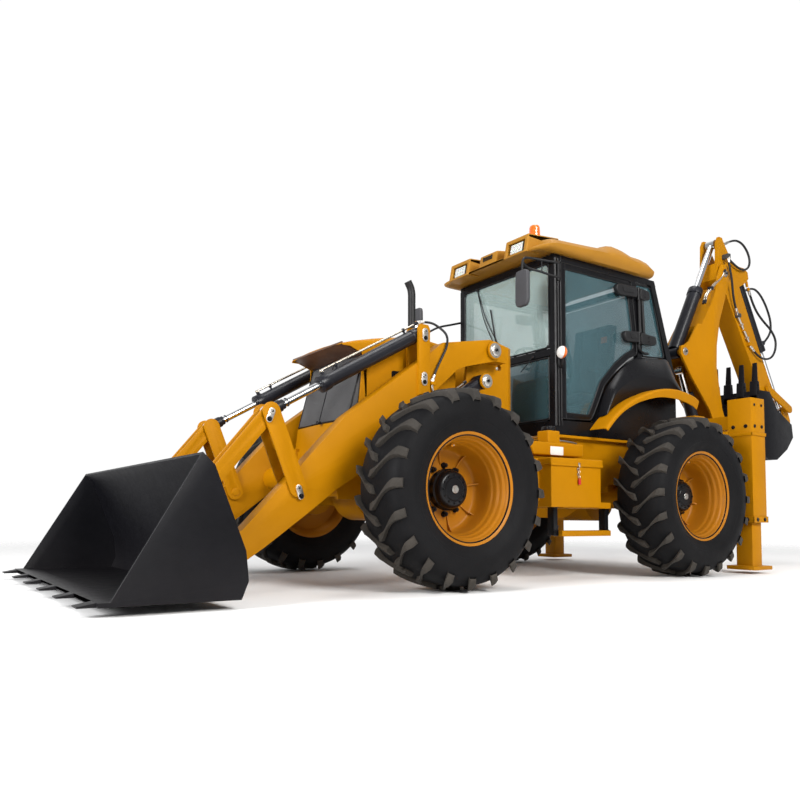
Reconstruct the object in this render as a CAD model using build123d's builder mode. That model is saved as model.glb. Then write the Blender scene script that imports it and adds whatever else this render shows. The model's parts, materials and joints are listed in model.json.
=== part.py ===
"""Backhoe loader with a jointed frame: loader arms and bucket in front, excavator arm behind.

All lengths are millimetres. X points forward, Y to the machine's left, Z up.
Side-view outlines are given as (x, z) with x counted from the front axle; every helper adds
X_AXLE, which puts the origin on the ground under the middle of the whole machine.
"""
from build123d import *
import os
from math import radians, degrees, atan2, hypot, cos, sin

os.makedirs("parts", exist_ok=True)

# ------------------------------------------------------------------ driving dimensions
X_AXLE = 1360.0          # front axle's x in the machine's frame
WHEELBASE = 2260.0
TYRE_R = 595.0           # 16/70-24 tyre, loaded radius equals the free radius here
TYRE_W = 410.0
WHEEL_Y = 923.0          # wheel centre plane
RIM_R = 304.5            # 24 inch bead seat
RIM_HALF = 166.0         # outer faces of the rim flanges
DISC_OFF = -93.0         # wheel disc inboard of the wheel centre plane
X_REAR = -WHEELBASE

X_HINGE = -1130.0        # the frame's articulation, half way between the axles

ARM_Y0, ARM_Y1 = 400.0, 500.0        # loader arm, inner and outer face
ARM_YC = 450.0
P_ARM = (-735.0, 1594.0)             # loader arm pivot
P_LIFT = (-655.0, 1370.0)            # lift cylinder base
P_LIFT_ROD = (60.0, 925.0)           # lift cylinder rod eye on the arm
P_LEVER = (815.0, 595.0)             # lever pivot on the arm
P_TOP = (992.0, 1030.0)              # lever top
P_TILT = (-115.0, 1643.0)            # tilt cylinder base
P_BUCKET = (1300.0, 200.0)           # bucket pivot on the arm nose
P_HOOD = (-532.0, 1634.0)            # hood hinge
P_EYE = (-899.0, 1512.0)             # lifting eye through each tower plate
EYE_R = 22.0
P_LINK = (1400.0, 550.0)             # link pin on the bucket
BUCKET_HALF = 1130.0

SHIFT_Y = 340.0                      # excavator carriage, shifted to the left
X_SWING = -3520.0
B_FOOT = (-3700.0, 1010.0)           # boom foot
B_RAM0 = (-3440.0, 1030.0)           # boom cylinder base on the kingpost
B_RAM1 = (-3150.0, 1750.0)           # boom cylinder rod eye on the boom
B_KNEE = (-3047.0, 1887.0)           # dipper cylinder base on the boom
B_END = (-3687.0, 2694.0)            # dipper pivot
D_TOP = (-3672.0, 2992.0)            # dipper cylinder rod eye
D_BOSS = (-4070.0, 2755.0)           # bucket cylinder base
D_TIP = (-4480.0, 1450.0)            # bucket pivot
D_LEVER = (-4400.0, 1690.0)          # lever pivot on the dipper
D_ROD = (-4787.0, 1520.0)            # bucket cylinder rod eye, lever and link
D_LINK = (-4520.0, 1200.0)           # link pin on the bucket

# hose routes, (x, y, z) with x from the front axle
HOSE_D = 16.0                        # hoses on the loader arms
HOSE_DB = 20.0                       # hoses on the dipper
HOSE_ARM = [(-158, 410, 1734), (-232, 418, 1748), (-294, 448, 1712), (-322, 500, 1650), (-300, 521, 1568),
            (-256, 522, 1490), (-212, 520, 1412), (-180, 519, 1336)]
HOSE_TOP = [(-3785, 418, 3014), (-3880, 430, 3062), (-3998, 440, 3055), (-4085, 446, 2985), (-4118, 450, 2900),
            (-4092, 452, 2828), (-4020, 452, 2788), (-3930, 452, 2784), (-3836, 452, 2812), (-3742, 452, 2852)]
HOSE_SIDE = [(-3708, 478, 2828), (-3722, 480, 2745), (-3758, 476, 2650), (-3790, 464, 2550), (-3822, 456, 2450), (-3872, 448, 2372)]
HOSE_LOOP = [(-4134, 442, 2046), (-4218, 452, 1982), (-4320, 464, 1962), (-4428, 468, 1992), (-4500, 468, 2075), (-4515, 466, 2182),
             (-4440, 460, 2272), (-4340, 446, 2338), (-4254, 430, 2420), (-4200, 416, 2520), (-4158, 413, 2608)]
HOSE_RAM = [(-4232, 350, 2660), (-4318, 356, 2694), (-4412, 364, 2664), (-4494, 370, 2588), (-4560, 374, 2490), (-4608, 374, 2385),
            (-4598, 372, 2262), (-4511, 360, 2185)]

HINGE_CLEAR = 0.6                    # radial clearance of a hinge pin in its moving eye


# ------------------------------------------------------------------ helpers
def sx(p):
    return (p[0] + X_AXLE, p[1])


def slab(outline, y0, y1, mode=Mode.ADD):
    """A side-view outline (x, z), extruded across from y0 to y1."""
    with BuildSketch(Plane.XZ.offset(-y0)) as s:
        with BuildLine():
            Polyline(*[sx(p) for p in outline], close=True)
        make_face()
    extrude(s.sketch, amount=-(y1 - y0), mode=mode)


def plan(outline, z0, z1, mode=Mode.ADD):
    """A plan-view outline (x, y), extruded up from z0 to z1."""
    with BuildSketch(Plane.XY.offset(z0)) as s:
        with BuildLine():
            Polyline(*[sx(p) for p in outline], close=True)
        make_face()
    extrude(s.sketch, amount=z1 - z0, mode=mode)


def block(x0, x1, y0, y1, z0, z1, mode=Mode.ADD):
    with BuildSketch(Plane.XY.offset(z0)) as s:
        with Locations(((x0 + x1) / 2 + X_AXLE, (y0 + y1) / 2)):
            Rectangle(abs(x1 - x0), abs(y1 - y0))
    extrude(s.sketch, amount=z1 - z0, mode=mode)


def disc(p, r, y0, y1, mode=Mode.ADD):
    """A round bar or hole along Y at the side-view point p."""
    with BuildSketch(Plane.XZ.offset(-y0)) as s:
        with Locations(sx(p)):
            Circle(r)
    extrude(s.sketch, amount=-(y1 - y0), mode=mode)


def post(x, y, r, z0, z1, mode=Mode.ADD):
    with BuildSketch(Plane.XY.offset(z0)) as s:
        with Locations((x + X_AXLE, y)):
            Circle(r)
    extrude(s.sketch, amount=z1 - z0, mode=mode)


def rod(a, b, r, mode=Mode.ADD):
    """A round bar between the points a and b, each (x, y, z)."""
    p0 = Vector(a[0] + X_AXLE, a[1], a[2])
    p1 = Vector(b[0] + X_AXLE, b[1], b[2])
    with BuildSketch(Plane(origin=p0, z_dir=(p1 - p0).normalized())) as s:
        Circle(r)
    extrude(s.sketch, amount=(p1 - p0).length, mode=mode)


def along(a, b, d):
    """The side-view point at distance d from a towards b."""
    n = hypot(b[0] - a[0], b[1] - a[1])
    return (a[0] + (b[0] - a[0]) * d / n, a[1] + (b[1] - a[1]) * d / n)


def strip(a, b, w, y0, y1, mode=Mode.ADD):
    """A straight plate in the side view, round at both ends, of width w."""
    n = hypot(b[0] - a[0], b[1] - a[1])
    ux, uz = (b[0] - a[0]) / n * w / 2, (b[1] - a[1]) / n * w / 2
    slab([(a[0] - uz, a[1] + ux), (b[0] - uz, b[1] + ux),
          (b[0] + uz, b[1] - ux), (a[0] + uz, a[1] - ux)], y0, y1, mode)
    disc(a, w / 2, y0, y1, mode)
    disc(b, w / 2, y0, y1, mode)


def wedge(low, top, z0, z1, mode=Mode.ADD):
    """A body with plane faces between two like plan outlines (x, y) at z0 and z1."""
    with BuildSketch(Plane.XY.offset(z0)) as a:
        with BuildLine():
            Polyline(*[sx(p) for p in low], close=True)
        make_face()
    with BuildSketch(Plane.XY.offset(z1)) as b:
        with BuildLine():
            Polyline(*[sx(p) for p in top], close=True)
        make_face()
    loft([a.sketch.face(), b.sketch.face()], ruled=True, mode=mode)


def front_outline(x_mid, x_side, half, back):
    """Plan of a front that bulges from x_side at the sides to x_mid in the middle."""
    return [(back, -half), (x_side, -half), (x_mid, 0), (x_side, half), (back, half)]


def stub(route, length, r):
    """A fitting that the hose comes out of: a rod that carries the first run of the route on backwards."""
    a, b = Vector(*route[0]), Vector(*route[1])
    e = a + (a - b).normalized() * length
    rod((e.X, e.Y, e.Z), route[0], r)


def hose(route, d, name):
    """A hose as straight runs and tangent arcs; every arc is as large as its two runs allow."""
    P = [Vector(x + X_AXLE, y, z) for x, y, z in route]
    radii, length, here = [], 0.0, P[0]
    with BuildPart() as tube:
        with BuildLine() as path:
            for a, p, b in zip(P, P[1:], P[2:]):
                u, v = (p - a).normalized(), (b - p).normalized()
                half = radians(u.get_angle(v)) / 2
                cut = 0.45 * min((p - a).length, (b - p).length)
                r = cut / (sin(half) / cos(half))
                t0, t1 = p - u * cut, p + v * cut
                mid = p + (v - u).normalized() * (r / cos(half) - r)
                Line(here, t0)
                ThreePointArc(t0, mid, t1)
                length += (t0 - here).length + r * 2 * half
                radii.append(round(r))
                here = t1
            Line(here, P[-1])
            length += (P[-1] - here).length
        with BuildSketch(Plane(origin=P[0], z_dir=P[1] - P[0])):
            Circle(d / 2)
        sweep(path=path.line)
    runs = [round((b - a).length) for a, b in zip(P, P[1:])]
    print(name, "d", d, "runs", runs, "radii", radii, "length", round(length),
          "volume ratio", round(tube.part.volume / (3.14159265 * d * d / 4 * length), 4))
    save(tube, name)


def save(builder, name):
    builder.part.label = name
    export_step(builder.part, f"parts/{name}.step")


# ------------------------------------------------------------------ wheels
# tyre section: (distance from the wheel's centre plane, radius)
TYRE_OUT = [(150, 305.5), (158, 335), (195, 385), (205, 440), (200, 500), (185, 545), (150, 582), (0, 595)]
TYRE_IN = [(0, 558), (150, 540), (172, 500), (178, 440), (168, 392), (132, 340), (128, 305.5)]
TYRE_SECTION = (TYRE_OUT + [(-w, r) for w, r in reversed(TYRE_OUT[:-1])]
                + [(-w, r) for w, r in reversed(TYRE_IN)] + TYRE_IN[1:])
RIM_RING = [(-166, 331), (-157, 331), (-157, 304.5), (157, 304.5), (157, 331), (166, 331), (166, 292), (-166, 292)]
wheel_table = [  # name, x from the front axle, side
    ("front_left", 0.0, 1), ("front_right", 0.0, -1), ("rear_left", X_REAR, 1), ("rear_right", X_REAR, -1)]
for wname, wx, side in wheel_table:
    ax = Axis((wx + X_AXLE, 0, TYRE_R), (0, 1, 0))
    sec = Plane(origin=(wx + X_AXLE, side * WHEEL_Y, TYRE_R), x_dir=(0, side, 0), z_dir=(side, 0, 0))
    with BuildPart() as tyre:
        with BuildSketch(sec) as s:
            with BuildLine():
                Polyline(*TYRE_SECTION, close=True)
            make_face()
        revolve(axis=ax)
    save(tyre, f"{wname}_tyre")
    with BuildPart() as rim:
        with BuildSketch(sec) as s:
            with BuildLine():
                Polyline(*RIM_RING, close=True)
            make_face()
            with BuildLine():  # disc and hub
                Polyline((-130, 0), (-130, 150), (-100, 150), (-100, 293), (-86, 293), (-86, 122),
                         (26, 122), (26, 0), close=True)
            make_face()
        revolve(axis=ax)
    save(rim, f"{wname}_rim")

# ------------------------------------------------------------------ axles
for aname, axx in (("front_axle", 0.0), ("rear_axle", X_REAR)):
    with BuildPart() as axle:
        disc((axx, TYRE_R), 88, -700, 700)
        for s in (-1, 1):
            disc((axx, TYRE_R), 150, min(s * 690, s * 780), max(s * 690, s * 780))
        disc((axx, TYRE_R), 190, -150, 150)
        for s in (-1, 1):
            block(axx - 110, axx + 110, min(s * 210, s * 330), max(s * 210, s * 330), 640, 700)
        if aname == "rear_axle":
            # gearbox ahead of the axle
            block(-1900, -1420, -175, 175, 560, 980)
            block(-1900, -2250, -60, 60, 600, 700)
    save(axle, aname)

NOSE_HALF = 328.0
NOSE_LOW = front_outline(420, 395, NOSE_HALF, 240)
NOSE_TOP = front_outline(390, 365, NOSE_HALF, 240)
# ------------------------------------------------------------------ front frame with the loader towers and nose
with BuildPart() as front_frame:
    for s in (-1, 1):
        lo, hi = min(s * 255, s * 285), max(s * 255, s * 285)
        slab([(-950, 1000), (-950, 480), (-260, 480), (-150, 701), (150, 701), (240, 540), (400, 540),
              (420, 640), (420, 900), (-300, 960), (-300, 1000)], lo, hi)
        # tower plate, its rear edge folded inwards
        lo, hi = min(s * 362, s * 386), max(s * 362, s * 386)
        slab([(-985, 1673), (-985, 1000), (-960, 975), (-520, 975), (-500, 1120), (-560, 1260), (-585, 1400),
              (-600, 1520), (-640, 1670)], lo, hi)
        plan([(-980, s * 362), (-980, s * 386), (-990, s * 386), (-1046, s * 352), (-1034, s * 332)], 1040, 1673)
        # outrigger from the side plate to the tower plate
        block(-950, -520, min(s * 285, s * 362), max(s * 285, s * 362), 975, 1000)
        block(-1000, -940, min(s * 250, s * 370), max(s * 250, s * 370), 940, 1095)
        # pins that carry the arm and the lift cylinder
        disc(P_ARM, 36, min(s * 386, s * 520), max(s * 386, s * 520))
        disc(P_LIFT, 32, min(s * 386, s * 520), max(s * 386, s * 520))
        disc(P_ARM, 62, min(s * 508, s * 522), max(s * 508, s * 522))
        disc(P_LIFT, 55, min(s * 508, s * 522), max(s * 508, s * 522))
        disc(P_EYE, EYE_R, min(s * 355, s * 390), max(s * 355, s * 390), Mode.SUBTRACT)
    block(-960, -920, -285, 285, 480, 1000)
    block(-920, -300, -255, 255, 480, 500)
    block(380, 405, -285, 285, 560, 880)
    # tower cross beam behind the engine
    block(-1005, -965, -365, 365, 1085, 1600)
    # deck behind the engine, which carries the exhaust
    block(-960, -470, -300, 300, 985, 1005)
    # articulation lugs
    for z0 in (480, 900):
        with BuildSketch(Plane.XY.offset(z0)) as s:
            with Locations((X_HINGE + X_AXLE, 0)):
                Circle(100)
            with Locations(((X_HINGE - 940) / 2 + X_AXLE, 0)):
                Rectangle(X_HINGE * -1 - 940, 200)
        extrude(s.sketch, amount=30)
        post(X_HINGE, 0, 35 + HINGE_CLEAR, z0 - 1, z0 + 31, Mode.SUBTRACT)
    # brackets for the eye of the steering cylinder's rod
    for z0, z1 in ((664, 690), (750, 776)):
        block(-900, -800, 285, 388, z0, z1)
    # bulkhead at the back of the engine bay, with the lugs and pins of the hood's hinge
    block(-538, -526, -326, 326, 1000, 1612)
    for y in (-200, 200):
        for d in (-25, 25):
            block(-544, -524, y + d - 5, y + d + 5, 1600, 1648)
        disc(P_HOOD, 8, y - 30, y + 30)
    # nose box below the grille, its front a shallow wedge in plan
    wedge(NOSE_LOW, NOSE_TOP, 820, 1046)
save(front_frame, "front_frame")

with BuildPart() as engine_block:
    block(-450, 220, -230, 230, 800, 1300)
    block(-450, 120, -120, 120, 1300, 1380)
save(engine_block, "engine_block")

# grille: slanted mesh front in two planes that meet in the middle, with short returns under the hood's sides
with BuildPart() as grille:
    wedge(front_outline(384, 359, 328, 250), front_outline(264, 239, 328, 150), 1052, 1488)
    wedge(front_outline(370, 345, 314, 200), front_outline(250, 225, 314, 100), 1051, 1489, Mode.SUBTRACT)
save(grille, "grille")

# hood: one lid over the engine, hinged at its rear edge, with a brow over the grille
HOOD = [(-518, 1010), (-518, 1640), (-300, 1668), (-28, 1654), (140, 1625), (300, 1588), (412, 1556), (408, 1544),
        (262, 1492), (250, 1484), (302, 1056), (235, 1056), (235, 1010)]
HOOD_IN = [(-530, 1000), (-530, 1626), (-300, 1653), (-28, 1639), (140, 1610), (300, 1573), (440, 1533), (440, 1000)]
with BuildPart() as hood:
    slab(HOOD, -346, 346)
    slab(HOOD_IN, -334, 334, Mode.SUBTRACT)
    for y in (-200, 200):
        for d in (-25, 25):
            block(-519, -492, y + d - 11, y + d + 11, 1600, 1660, Mode.SUBTRACT)
        disc(P_HOOD, 16, y - 13, y + 13)
        block(-532, -480, y - 13, y + 13, 1619, 1636)
        disc(P_HOOD, 8 + HINGE_CLEAR, y - 14, y + 14, Mode.SUBTRACT)
save(hood, "hood")

with BuildPart() as exhaust_pipe:
    # silencer on the deck, tall outlet with its end bent forward, and the air intake beside it
    block(-660, -540, -300, -120, 1005, 1500)
    rod((-595, -255, 1490), (-595, -255, 2190), 30)
    rod((-595, -255, 2175), (-552, -255, 2290), 30)
    rod((-605, -165, 1490), (-605, -165, 2030), 42)
save(exhaust_pipe, "exhaust_pipe")

# ------------------------------------------------------------------ loader
ARM = [(-855, 1640), (-855, 1520), (-754, 1524), (-488, 1459), (-408, 1428), (-244, 1290), (-65, 1135), (160, 900),
       (349, 713), (551, 590), (734, 455), (1011, 261), (1122, 189), (1240, 140),
       (1340, 130), (1375, 200), (1330, 262), (1155, 355), (824, 695), (483, 1042), (-60, 1430),
       (-178, 1516), (-285, 1596), (-705, 1670)]
with BuildPart() as loader_arms:
    for s in (-1, 1):
        a, b = (ARM_Y0, ARM_Y1) if s > 0 else (-ARM_Y1, -ARM_Y0)
        slab(ARM, a, b)
        disc(P_ARM, 36 + HINGE_CLEAR, a - 1, b + 1, Mode.SUBTRACT)
        disc(P_BUCKET, 30 + HINGE_CLEAR, a - 1, b + 1, Mode.SUBTRACT)
        disc(P_LEVER, 26, min(s * 378, s * 522), max(s * 378, s * 522))
        for y0, y1 in ((382, 400), (500, 518)):     # tilt cylinder bracket plates
            lo, hi = (y0, y1) if s > 0 else (-y1, -y0)
            slab([(-78, 1690), (-64, 1665), (-64, 1222), (-157, 1255), (-157, 1665), (-142, 1690)], lo, hi)
        disc(P_TILT, 24, min(s * 382, s * 518), max(s * 382, s * 518))
        for y0, y1 in ((400, 418), (482, 500)):     # lift cylinder lugs
            lo, hi = (y0, y1) if s > 0 else (-y1, -y0)
            slab([(-20, 1088), (5, 925), (30, 885), (75, 872), (115, 900), (150, 911)], lo, hi)
    disc((524, 695), 75, -400, 400)
    for s in (-1, 1):
        # fittings of the hose that loops behind the tilt cylinder's bracket
        rod((-128, s * 409, 1689), (-128, s * 409, 1730), 10)
        stub([(x, s * y, z) for x, y, z in HOSE_ARM], 34, 10)
        block(-195, -163, min(s * 500, s * 532), max(s * 500, s * 532), 1296, 1318)
        stub([(x, s * y, z) for x, y, z in HOSE_ARM][::-1], 32, 11)
save(loader_arms, "loader_arms")


def cylinder_pair(name_a, name_b, p0, p1, y, r_barrel, r_rod, barrel_len, eye0, eye1, w0, w1, both, inner=None):
    """Barrel and rod of a cylinder in the side view, from the base pin p0 to the rod's eye p1.

    eye0, eye1: eye radii; w0, w1: half widths of the eyes across; y: centre plane; both: mirrored copy too;
    inner: where the rod's inner end stands, counted from p0.
    """
    q = along(p0, p1, barrel_len)
    q0 = along(p0, p1, eye0 * 0.8)
    with BuildPart() as barrel:
        rod((q0[0], y, q0[1]), (q[0], y, q[1]), r_barrel)
        g = along(p0, p1, barrel_len - 60)
        rod((g[0], y, g[1]), (q[0], y, q[1]), r_barrel + 7)
        disc(p0, eye0, y - w0, y + w0)
        bore = along(p0, p1, barrel_len - 1)
        rod((along(p0, p1, eye0 * 0.8 + 40)[0], y, along(p0, p1, eye0 * 0.8 + 40)[1]),
            (along(p0, p1, barrel_len + 1)[0], y, along(p0, p1, barrel_len + 1)[1]), r_rod + 1.0, Mode.SUBTRACT)
        if both:
            mirror(about=Plane.XZ)
    with BuildPart() as ram:
        a = along(p0, p1, eye0 * 0.8 + 60 if inner is None else inner)
        b = along(p1, p0, eye1 * 0.7)
        rod((a[0], y, a[1]), (b[0], y, b[1]), r_rod)
        disc(p1, eye1, y - w1, y + w1)
        if both:
            mirror(about=Plane.XZ)
    return barrel, ram


lift_barrels, lift_rods = cylinder_pair("", "", P_LIFT, P_LIFT_ROD, ARM_YC, 46, 25, 700, 52, 45, 42, 25, False)
with BuildPart() as lift_barrels2:
    add(lift_barrels.part)
    disc(P_LIFT, 32 + HINGE_CLEAR, ARM_YC - 60, ARM_YC + 60, Mode.SUBTRACT)
    mirror(about=Plane.XZ)
save(lift_barrels2, "lift_barrels")
with BuildPart() as lift_rods2:
    add(lift_rods.part)
    mirror(about=Plane.XZ)
save(lift_rods2, "lift_rods")

tilt_barrels, tilt_rods = cylinder_pair("", "", P_TILT, P_TOP, ARM_YC, 46, 22, 860, 44, 40, 44, 20, False, 290)
with BuildPart() as tilt_barrels2:
    add(tilt_barrels.part)
    disc(P_TILT, 24 + HINGE_CLEAR, ARM_YC - 60, ARM_YC + 60, Mode.SUBTRACT)
    mirror(about=Plane.XZ)
save(tilt_barrels2, "tilt_barrels")
with BuildPart() as tilt_rods2:
    add(tilt_rods.part)
    mirror(about=Plane.XZ)
save(tilt_rods2, "tilt_rods")

with BuildPart() as bucket_levers:
    for y0, y1 in ((383, 395), (505, 517)):
        strip(P_LEVER, P_TOP, 110, y0, y1)
        disc(P_LEVER, 26 + HINGE_CLEAR, y0 - 1, y1 + 1, Mode.SUBTRACT)
    disc(P_TOP, 22, 383, 424)
    disc(P_TOP, 22, 476, 517)
    # web that ties the two plates, between the arm and the top joint
    m0, m1 = along(P_LEVER, P_TOP, 250), along(P_LEVER, P_TOP, 340)
    strip(m0, m1, 12, 395, 505)
    mirror(about=Plane.XZ)
save(bucket_levers, "bucket_levers")

with BuildPart() as bucket_links:
    for y0, y1 in ((404, 422), (478, 496)):
        strip(P_TOP, P_LINK, 90, y0, y1)
        disc(P_TOP, 22 + HINGE_CLEAR, y0 - 1, y1 + 1, Mode.SUBTRACT)
    m0, m1 = along(P_TOP, P_LINK, 200), along(P_TOP, P_LINK, 520)
    strip(m0, m1, 16, 422, 478)
    mirror(about=Plane.XZ)
save(bucket_links, "bucket_links")

# bucket: side outline, wall thickness 14
BO = [(2050, 45), (1440, 45), (1405, 130), (1420, 270), (1580, 665), (1640, 722)]
BI = [(2110, 61), (1450, 61), (1421, 131), (1436, 268), (1594, 658), (1660, 722), (1680, 900), (2110, 900)]
with BuildPart() as loader_bucket:
    slab([(2050, 45), (1440, 45), (1405, 130), (1420, 270), (1580, 665), (1640, 722)], -BUCKET_HALF, BUCKET_HALF)
    slab(BI, -BUCKET_HALF + 16, BUCKET_HALF - 16, Mode.SUBTRACT)
    # cutting edge and teeth
    block(1960, 2090, -BUCKET_HALF, BUCKET_HALF, 45, 67)
    for k in range(6):
        y = -BUCKET_HALF + 75 + k * (2 * BUCKET_HALF - 150) / 5
        slab([(1990, 67), (2080, 67), (2170, 52), (2170, 45), (2085, 45), (1990, 67)][:5], y - 45, y + 45)
    for s in (-1, 1):
        for y0, y1 in ((373, 393), (507, 527)):      # hinge plates
            lo, hi = (y0, y1) if s > 0 else (-y1, -y0)
            slab([(1250, 150), (1300, 130), (1425, 90), (1425, 270), (1585, 665), (1400, 610), (1345, 560), (1240, 220)], lo, hi)
        disc(P_BUCKET, 30, min(s * 373, s * 527), max(s * 373, s * 527))
        disc(P_LINK, 22, min(s * 373, s * 398), max(s * 373, s * 398))
        disc(P_LINK, 22, min(s * 502, s * 527), max(s * 502, s * 527))
save(loader_bucket, "loader_bucket")

# ------------------------------------------------------------------ steering cylinder
S0, S1 = (-1760.0, 300.0, 720.0), (-850.0, 352.0, 720.0)
sd = Vector(S1[0] - S0[0], S1[1] - S0[1], 0).normalized()


def s_at(d):
    return (S0[0] + sd.X * d, S0[1] + sd.Y * d, S0[2])


with BuildPart() as steering_barrel:
    rod(s_at(30), s_at(600), 38)
    post(S0[0], S0[1], 38, 690, 750)
    rod(s_at(70), s_at(601), 19, Mode.SUBTRACT)
    post(S0[0], S0[1], 20 + HINGE_CLEAR, 680, 760, Mode.SUBTRACT)
save(steering_barrel, "steering_barrel")
with BuildPart() as steering_rod:
    rod(s_at(295), s_at(885), 18)
    post(S1[0], S1[1], 32, 698, 742)
save(steering_rod, "steering_rod")

# ------------------------------------------------------------------ rear frame
with BuildPart() as rear_frame:
    for s in (-1, 1):
        slab([(-1330, 1045), (-1330, 430), (-1480, 430), (-2110, 760), (-2410, 760), (-2600, 560), (-2900, 560), (-2900, 1045)],
             min(s * 455, s * 480), max(s * 455, s * 480))
        block(-2900, -1330, min(s * 480, s * 525), max(s * 480, s * 525), 1025, 1045)
        block(-2370, -2150, min(s * 210, s * 455), max(s * 210, s * 455), 701, 735)
        block(-2370, -2150, min(s * 440, s * 455), max(s * 440, s * 455), 735, 800)
    block(-2900, -2875, -455, 455, 560, 1045)
    block(-1355, -1305, -185, 185, 430, 1045)
    block(-1355, -1305, -455, 455, 800, 1045)
    block(-1355, -1305, -455, 455, 430, 620)
    # fork of the articulation and its pin
    for z0, z1 in ((440, 470), (940, 970)):
        with BuildSketch(Plane.XY.offset(z0)) as s:
            with Locations((X_HINGE + X_AXLE, 0)):
                Circle(95)
            with Locations(((X_HINGE - 1310) / 2 + X_AXLE, 0)):
                Rectangle(1310 + X_HINGE, 190)
        extrude(s.sketch, amount=z1 - z0)
    post(X_HINGE, 0, 35, 440, 970)
    # steering cylinder's base
    block(-1830, -1720, 255, 455, 760, 780)
    block(-1830, -1720, 255, 455, 660, 680)
    post(S0[0], S0[1], 20, 660, 780)
save(rear_frame, "rear_frame")


# ------------------------------------------------------------------ cab
CAB_HALF = 520.0
DOOR_AXIS = (-2300.0, 535.0)
HINGE_Z = (1892.0, 2250.0)
B_POST = [(-2224, 2402), (-2298, 1900), (-2303, 1690), (-2363, 1690), (-2358, 1900), (-2284, 2402)]
with BuildPart() as cab_frame:
    block(-2760, -1330, -500, 500, 1050, 1100)                                              # floor
    block(-2800, -2760, -500, 500, 1050, 1620)                                              # rear lower wall
    for s in (-1, 1):
        lo, hi = min(s * 480, s * 520), max(s * 480, s * 520)
        slab([(-1325, 1050), (-1395, 1050), (-1400, 2402), (-1330, 2402)], lo, hi)          # A post
        slab(B_POST, lo, hi)
        slab([(-2800, 1610), (-2735, 1610), (-2472, 2402), (-2532, 2402)], lo, hi)          # C post
        slab([(-1330, 2402), (-2532, 2402), (-2552, 2356), (-1330, 2356)], lo, hi)          # top rail
        # sill and wheel arch wall behind the door
        slab([(-1325, 1050), (-2800, 1050), (-2800, 1620), (-2745, 1760), (-2300, 1735), (-2205, 1686), (-2070, 1592),
              (-1912, 1446), (-1832, 1296), (-1790, 1200), (-1765, 1160), (-1325, 1150)], lo, hi)
    block(-1380, -1332, -480, 480, 2350, 2402)
    block(-2545, -2500, -480, 480, 2350, 2402)
    block(-1370, -1328, -480, 480, 1050, 1150)
    block(-1370, -1328, -480, 480, 1640, 1690)
    for s in (-1, 1):
        # hinge pins of the doors and their lugs
        for z in HINGE_Z:
            post(DOOR_AXIS[0], s * DOOR_AXIS[1], 7, z - 44, z + 44)
            for z0, z1 in ((z - 46, z - 20), (z + 20, z + 46)):
                post(DOOR_AXIS[0], s * DOOR_AXIS[1], 14, z0, z1)
                block(-2345, DOOR_AXIS[0], min(s * 515, s * 545), max(s * 515, s * 545), z0, z1)
save(cab_frame, "cab_frame")

with BuildPart() as cab_windows:
    slab([(-1334, 1692), (-1342, 1692), (-1342, 2348), (-1334, 2348)], -478, 478)
    slab([(-1334, 1152), (-1342, 1152), (-1342, 1638), (-1334, 1638)], -478, 478)
    slab([(-2780, 1622), (-2788, 1622), (-2534, 2348), (-2526, 2348)], -478, 478)
    for s in (-1, 1):
        slab([(-2369, 1745), (-2674, 1764), (-2478, 2352), (-2300, 2352), (-2367, 1900)], min(s * 496, s * 504), max(s * 496, s * 504))
save(cab_windows, "cab_windows")

ROOF = [(-1060, 2404), (-1010, 2440), (-1120, 2530), (-1400, 2565), (-1800, 2600), (-2150, 2600), (-2450, 2560), (-2555, 2500),
        (-2560, 2450), (-2520, 2404)]
with BuildPart() as cab_roof:
    slab(ROOF, -600, 600)
save(cab_roof, "cab_roof")

with BuildPart() as beacon:
    post(-1367, 300, 55, 2574, 2594)
    post(-1367, 300, 42, 2594, 2700)
    block(-1400, -1334, 267, 333, 2566, 2575)
save(beacon, "beacon")

with BuildPart() as operator_seat:
    block(-2350, -2000, -180, 180, 1100, 1350)
    block(-2420, -1940, -240, 240, 1350, 1470)
    slab([(-2398, 1470), (-2290, 1470), (-2372, 2115), (-2486, 2115)], -220, 220)
save(operator_seat, "operator_seat")

with BuildPart() as steering_console:
    slab([(-1480, 1100), (-1640, 1100), (-1620, 1560), (-1490, 1600)], -180, 180)
    rod((-1600, 0, 1540), (-1690, 0, 1720), 22)
    with BuildSketch(Plane(origin=(-1690 + X_AXLE, 0, 1720), z_dir=(-0.447, 0, 0.894))) as s:
        Circle(190)
        Circle(165, mode=Mode.SUBTRACT)
        Rectangle(340, 30)
    extrude(s.sketch, amount=24, both=True)
save(steering_console, "steering_console")

with BuildPart() as mirrors:
    for s, xm, ym, zlow, zhigh in ((1, -1055, 472, 1965, 2238), (-1, -920, 600, 1922, 2186)):
        block(xm - 20, xm + 20, min(s * (ym - 60), s * (ym + 60)), max(s * (ym - 60), s * (ym + 60)), zlow, zhigh)
    block(-1390, -1356, 521, 541, 2200, 2350)
    rod((-1372, 532, 2332), (-1340, 532, 2333), 9)
    rod((-1340, 532, 2333), (-1120, 463, 2346), 9)
    rod((-1120, 463, 2346), (-1060, 469, 2312), 9)
    rod((-1060, 469, 2312), (-1055, 471, 2230), 9)
    rod((-1372, 532, 2222), (-1340, 532, 2224), 9)
    rod((-1340, 532, 2224), (-1125, 463, 2270), 9)
    rod((-1125, 463, 2270), (-1060, 469, 2300), 9)
    # the right arm carries its mirror from below
    block(-1390, -1356, -540, -521, 2080, 2150)
    rod((-1372, -530, 2116), (-1120, -570, 2046), 9)
    rod((-1120, -570, 2046), (-950, -597, 1930), 9)
    rod((-950, -597, 1930), (-920, -600, 1940), 9)
save(mirrors, "mirrors")

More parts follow.
